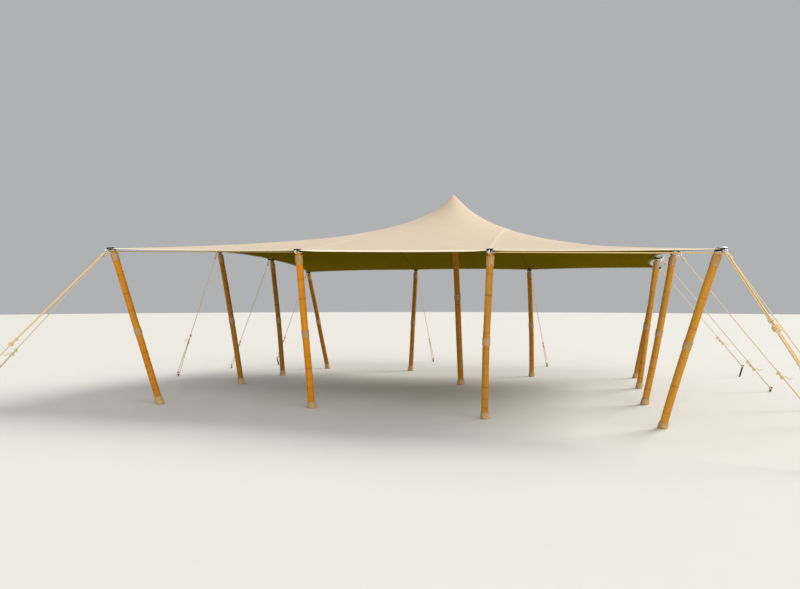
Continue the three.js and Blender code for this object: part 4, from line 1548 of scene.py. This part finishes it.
# How far the strand beside a single rope lies off it between the coils of its hitch. On a triple
# rope, half the gap of the upper pair, how far the pair lies over the line of pull and the low
# strand under it, all against the rope's radius, and how far from the bar the low strand starts
BACK_OFF = 1.9
PAIR_GAP = 1.75
PAIR_LIFT = 0.55
LOW_DROP = 1.0
LOW_START = 0.03

# Coils of a hitch: how wide and deep a core they go round and how far its middle lies over the line
# of pull, on a single and on a triple rope, against its radius. Then the turns of a full coil, and
# the strand's thickness and the turns of a light one further up a triple rope
SINGLE_CORE = (1.0, 1.95, 0.95)
TRIPLE_CORE = (2.6, 1.9, -0.2)
HITCH_TURNS = 2.5
LIGHT_COIL = 0.75
LIGHT_TURNS = 2.0

# Length of the eye round a shackle, and the rest of it that the knot closes. Then the loose end: its
# length on a triple rope, its thickness against the rope's, how far it turns aside, its steps, the
# height of its wave against its length, the half turns of that, and its rise and droop
EYE_LENGTH = 0.055
EYE_CLOSE = 0.01
TAIL_STUB = 0.045
TAIL_GIRTH = 0.9
TAIL_ASIDE = 0.15
TAIL_STEPS = 26
TAIL_WAVE = 0.11
TAIL_HALF_TURNS = 2.2
TAIL_RISE = 0.10
TAIL_DROOP = 0.22

# Loop round a stake: its height, turns and steps in a turn
LOOP_HEIGHT = 0.022
LOOP_TURNS = 1.5
LOOP_STEPS = 26


def laid(shape, path, radius, side, lay_radius=None):
    """A laid rope along a path, whose strands turn as on a rope of the lay radius."""
    lay = LAY * (lay_radius or radius)
    strand(shape, path, radius, side, ROPE_SIDES, 0, ROPE_STRANDS, lay)


def wound(shape, start, axis, first, wide, deep, radius, turns):
    """A few tight turns of rope round what lies on the axis, centred on a point."""
    length = COIL_PITCH * radius * turns
    start = start - length / 2 * axis
    path = coil(start, axis, first, wide + radius, deep + radius, length, turns, COIL_STEPS)
    strand(shape, path, radius, away_from(path, start, axis), COIL_SIDES)


def doubled(bar, pull, side, lift, half, first_half, length):
    """Path of a rope that comes up to a bar, passes round it and goes back.

    On both sides of the half circle round the bar it closes in from the first half width to the
    half width within EYE_LENGTH, and is lifted off the pull as it does.
    """
    turn = np.linspace(-math.pi / 2, math.pi / 2, BEND_STEPS)[:, None]
    bend = bar + first_half * (np.sin(turn) * side - np.cos(turn) * pull)
    run = np.linspace(0, length, max(int(length / ROPE_STEP), 4))[1:, None]
    close = np.clip(run / EYE_LENGTH, 0, 1)
    width = (first_half + (half - first_half) * close) * side
    middle = bar + run * pull + lift * close * np.cross(side, pull)
    return np.concatenate([(middle - width)[::-1], bend, middle + width])


def guy_rope(shape, line, r, tail):
    """A guy rope: round the shackle, one or three strands down to the hitch, and two below.

    A single rope is knotted back on itself at the shackle, and a triple one passes round it.
    The hitch is a few turns at two or three places, and on a single rope the strand that comes
    back from the stake lies beside it between them. A loose end waves out where the two legs
    to the stake begin.
    """
    pull, side, hitch, loop = (line[key] for key in ("pull", "sideways", "hitch", "loop"))
    third = np.cross(side, pull)
    strands, upper, lower = line["strands"], r * line["upper"], r * line["lower"]
    bar = line["ring"] + BOW_RADIUS * pull
    round_bar = BAR_RADIUS + upper
    if strands == 1:
        reach = EYE_LENGTH + EYE_CLOSE
        eye = doubled(bar, pull, side, 0.0, KNOT_GAP * upper, round_bar, reach)
        laid(shape, eye, upper, third)
        knot = bar + (reach + KNOT_PLACE) * pull
        wide, deep = KNOT_CORE
        wound(shape, knot, pull, side, wide * upper, deep * upper, upper, KNOT_TURNS)
        laid(shape, straight(knot, hitch), upper, third)
        back = hitch + BACK_OFF * upper * third
        laid(shape, straight(back + line["coils"][0] * pull, back), upper, side)
    else:
        reach = float((hitch - bar) @ pull)
        lift, gap = PAIR_LIFT * upper, PAIR_GAP * upper
        laid(shape, doubled(bar, pull, side, lift, gap, round_bar, reach), upper, third)
        low = -LOW_DROP * upper * third
        laid(shape, straight(bar + LOW_START * pull + low, hitch + low), upper, third)
    wide, deep, over = upper * np.array(SINGLE_CORE if strands == 1 else TRIPLE_CORE)
    for place in line["coils"]:
        full = place == 0.0 or strands == 1
        size, turns = (lower, HITCH_TURNS) if full else (LIGHT_COIL * upper, LIGHT_TURNS)
        wound(shape, hitch + place * pull + over * third, pull, side, wide, deep, size, turns)
    length = tail if strands == 1 else TAIL_STUB
    share = np.linspace(0, 1, TAIL_STEPS)[:, None]
    away = unit(flat(pull) + TAIL_ASIDE * side)
    rise = (TAIL_WAVE * np.sin(TAIL_HALF_TURNS * math.pi * share)
            + TAIL_RISE * share - TAIL_DROOP * share ** 2)
    end = hitch + (wide + r) * side * (1 - share) + length * (share * away + rise * UP)
    laid(shape, end, TAIL_GIRTH * upper, side, r)
    grip = STAKE_RADIUS + lower
    for hand in (-1, 1):
        laid(shape, straight(hitch + hand * lower * side, loop + hand * grip * side), lower, third)
    axis = line["axis"]
    start = loop - LOOP_HEIGHT / 2 * axis
    around = coil(start, axis, side, grip, grip, LOOP_HEIGHT, LOOP_TURNS, LOOP_STEPS)
    strand(shape, around, lower, away_from(around, start, axis), ROPE_SIDES)


class TENT_OT_ropes(bpy.types.Operator):
    """Strings the guy ropes from the shackles to the stakes"""

    bl_idname = "tent.ropes"
    bl_label = "Guy ropes"

    def execute(self, context):
        settings = context.scene.tent_ropes
        single = cord_material("rope", settings.colour)
        heavy = cord_material("corner_rope", settings.corner)
        for line in LINES:
            shape = Shape()
            guy_rope(shape, line, settings.radius, settings.tail)
            fibre = single if line["strands"] == 1 else heavy
            piece = shape.piece("line_" + line["name"], [fibre], crease=70.0)
            settle(piece, "guy_" + line["name"])
        return {"FINISHED"}


# Stake: radius at the ground and halfway up, its head as pairs of radius and distance below the
# top, its sides, how far up the ground's level reaches into its rings, and the colour of its rust
STAKE_FOOT = 0.0156
STAKE_WAIST = 0.0158
STAKE_HEAD = [(0.0155, 0.020), (0.0165, 0.015), (0.0200, 0.012), (0.0208, 0.007),
              (0.0200, 0.002), (0.0150, 0.0)]
STAKE_SIDES = 20
STAKE_LEVEL = 0.03
RUST = (0.36, 0.20, 0.11)


class TENT_OT_stakes(bpy.types.Operator):
    """Drives a steel stake into the ground at the end of each rope"""

    bl_idname = "tent.stakes"
    bl_label = "Stakes"

    def execute(self, context):
        """A turned rod that meets the ground level, with a beaten head."""
        settings = context.scene.tent_hardware
        rusted = worn_material("stake_steel", settings.stake, RUST, roughness=0.6, metallic=0.55,
                               amount=0.2, relief=0.0008)
        for line in LINES:
            name, length = line["name"], line["length"]
            profile = [(STAKE_FOOT, 0.0), (STAKE_WAIST, length / 2)]
            profile += [(radius, length - below) for radius, below in STAKE_HEAD]
            shape = Shape()
            turned(shape, line["ground"], line["axis"], profile, STAKE_SIDES, 0,
                   (STAKE_LEVEL, 0.0))
            settle(shape.piece("peg_" + name, [rusted]), "stake_" + name)
        return {"FINISHED"}


class TENT_OT_cloth_size(bpy.types.Operator):
    """Does nothing when run"""

    bl_idname = "tent.cloth_size"
    bl_label = "Cloth size"

    def execute(self, context):
        return {"FINISHED"}


PIECES = (
    TENT_OT_stage, TENT_OT_sheet, TENT_OT_hems, TENT_OT_straps, TENT_OT_poles, TENT_OT_cap,
    TENT_OT_clamps, TENT_OT_ropes, TENT_OT_stakes, TENT_OT_cloth_size,
)


class TENT_PT_pieces(bpy.types.Panel):
    """Lists the tent's pieces and their settings"""

    bl_idname = "TENT_PT_pieces"
    bl_label = "Stretch tent"
    bl_space_type = "VIEW_3D"
    bl_region_type = "UI"
    bl_category = "Tent"

    def draw(self, context):
        for key, kind in SETTINGS.items():
            box = self.layout.box()
            box.label(text=kind.__doc__)
            for name in kind.__annotations__:
                box.prop(getattr(context.scene, key), name)
        for piece in PIECES:
            self.layout.operator(piece.bl_idname)


def register():
    for kind in (*SETTINGS.values(), *PIECES, TENT_PT_pieces):
        bpy.utils.register_class(kind)
    for key, kind in SETTINGS.items():
        setattr(bpy.types.Scene, key, PointerProperty(type=kind))


def unregister():
    for key in SETTINGS:
        delattr(bpy.types.Scene, key)
    for kind in reversed((*SETTINGS.values(), *PIECES, TENT_PT_pieces)):
        bpy.utils.unregister_class(kind)


def main():
    """Builds the tent."""
    register()
    for piece in PIECES:
        family, name = piece.bl_idname.split(".")
        getattr(getattr(bpy.ops, family), name)()


if __name__ == "__main__":
    main()
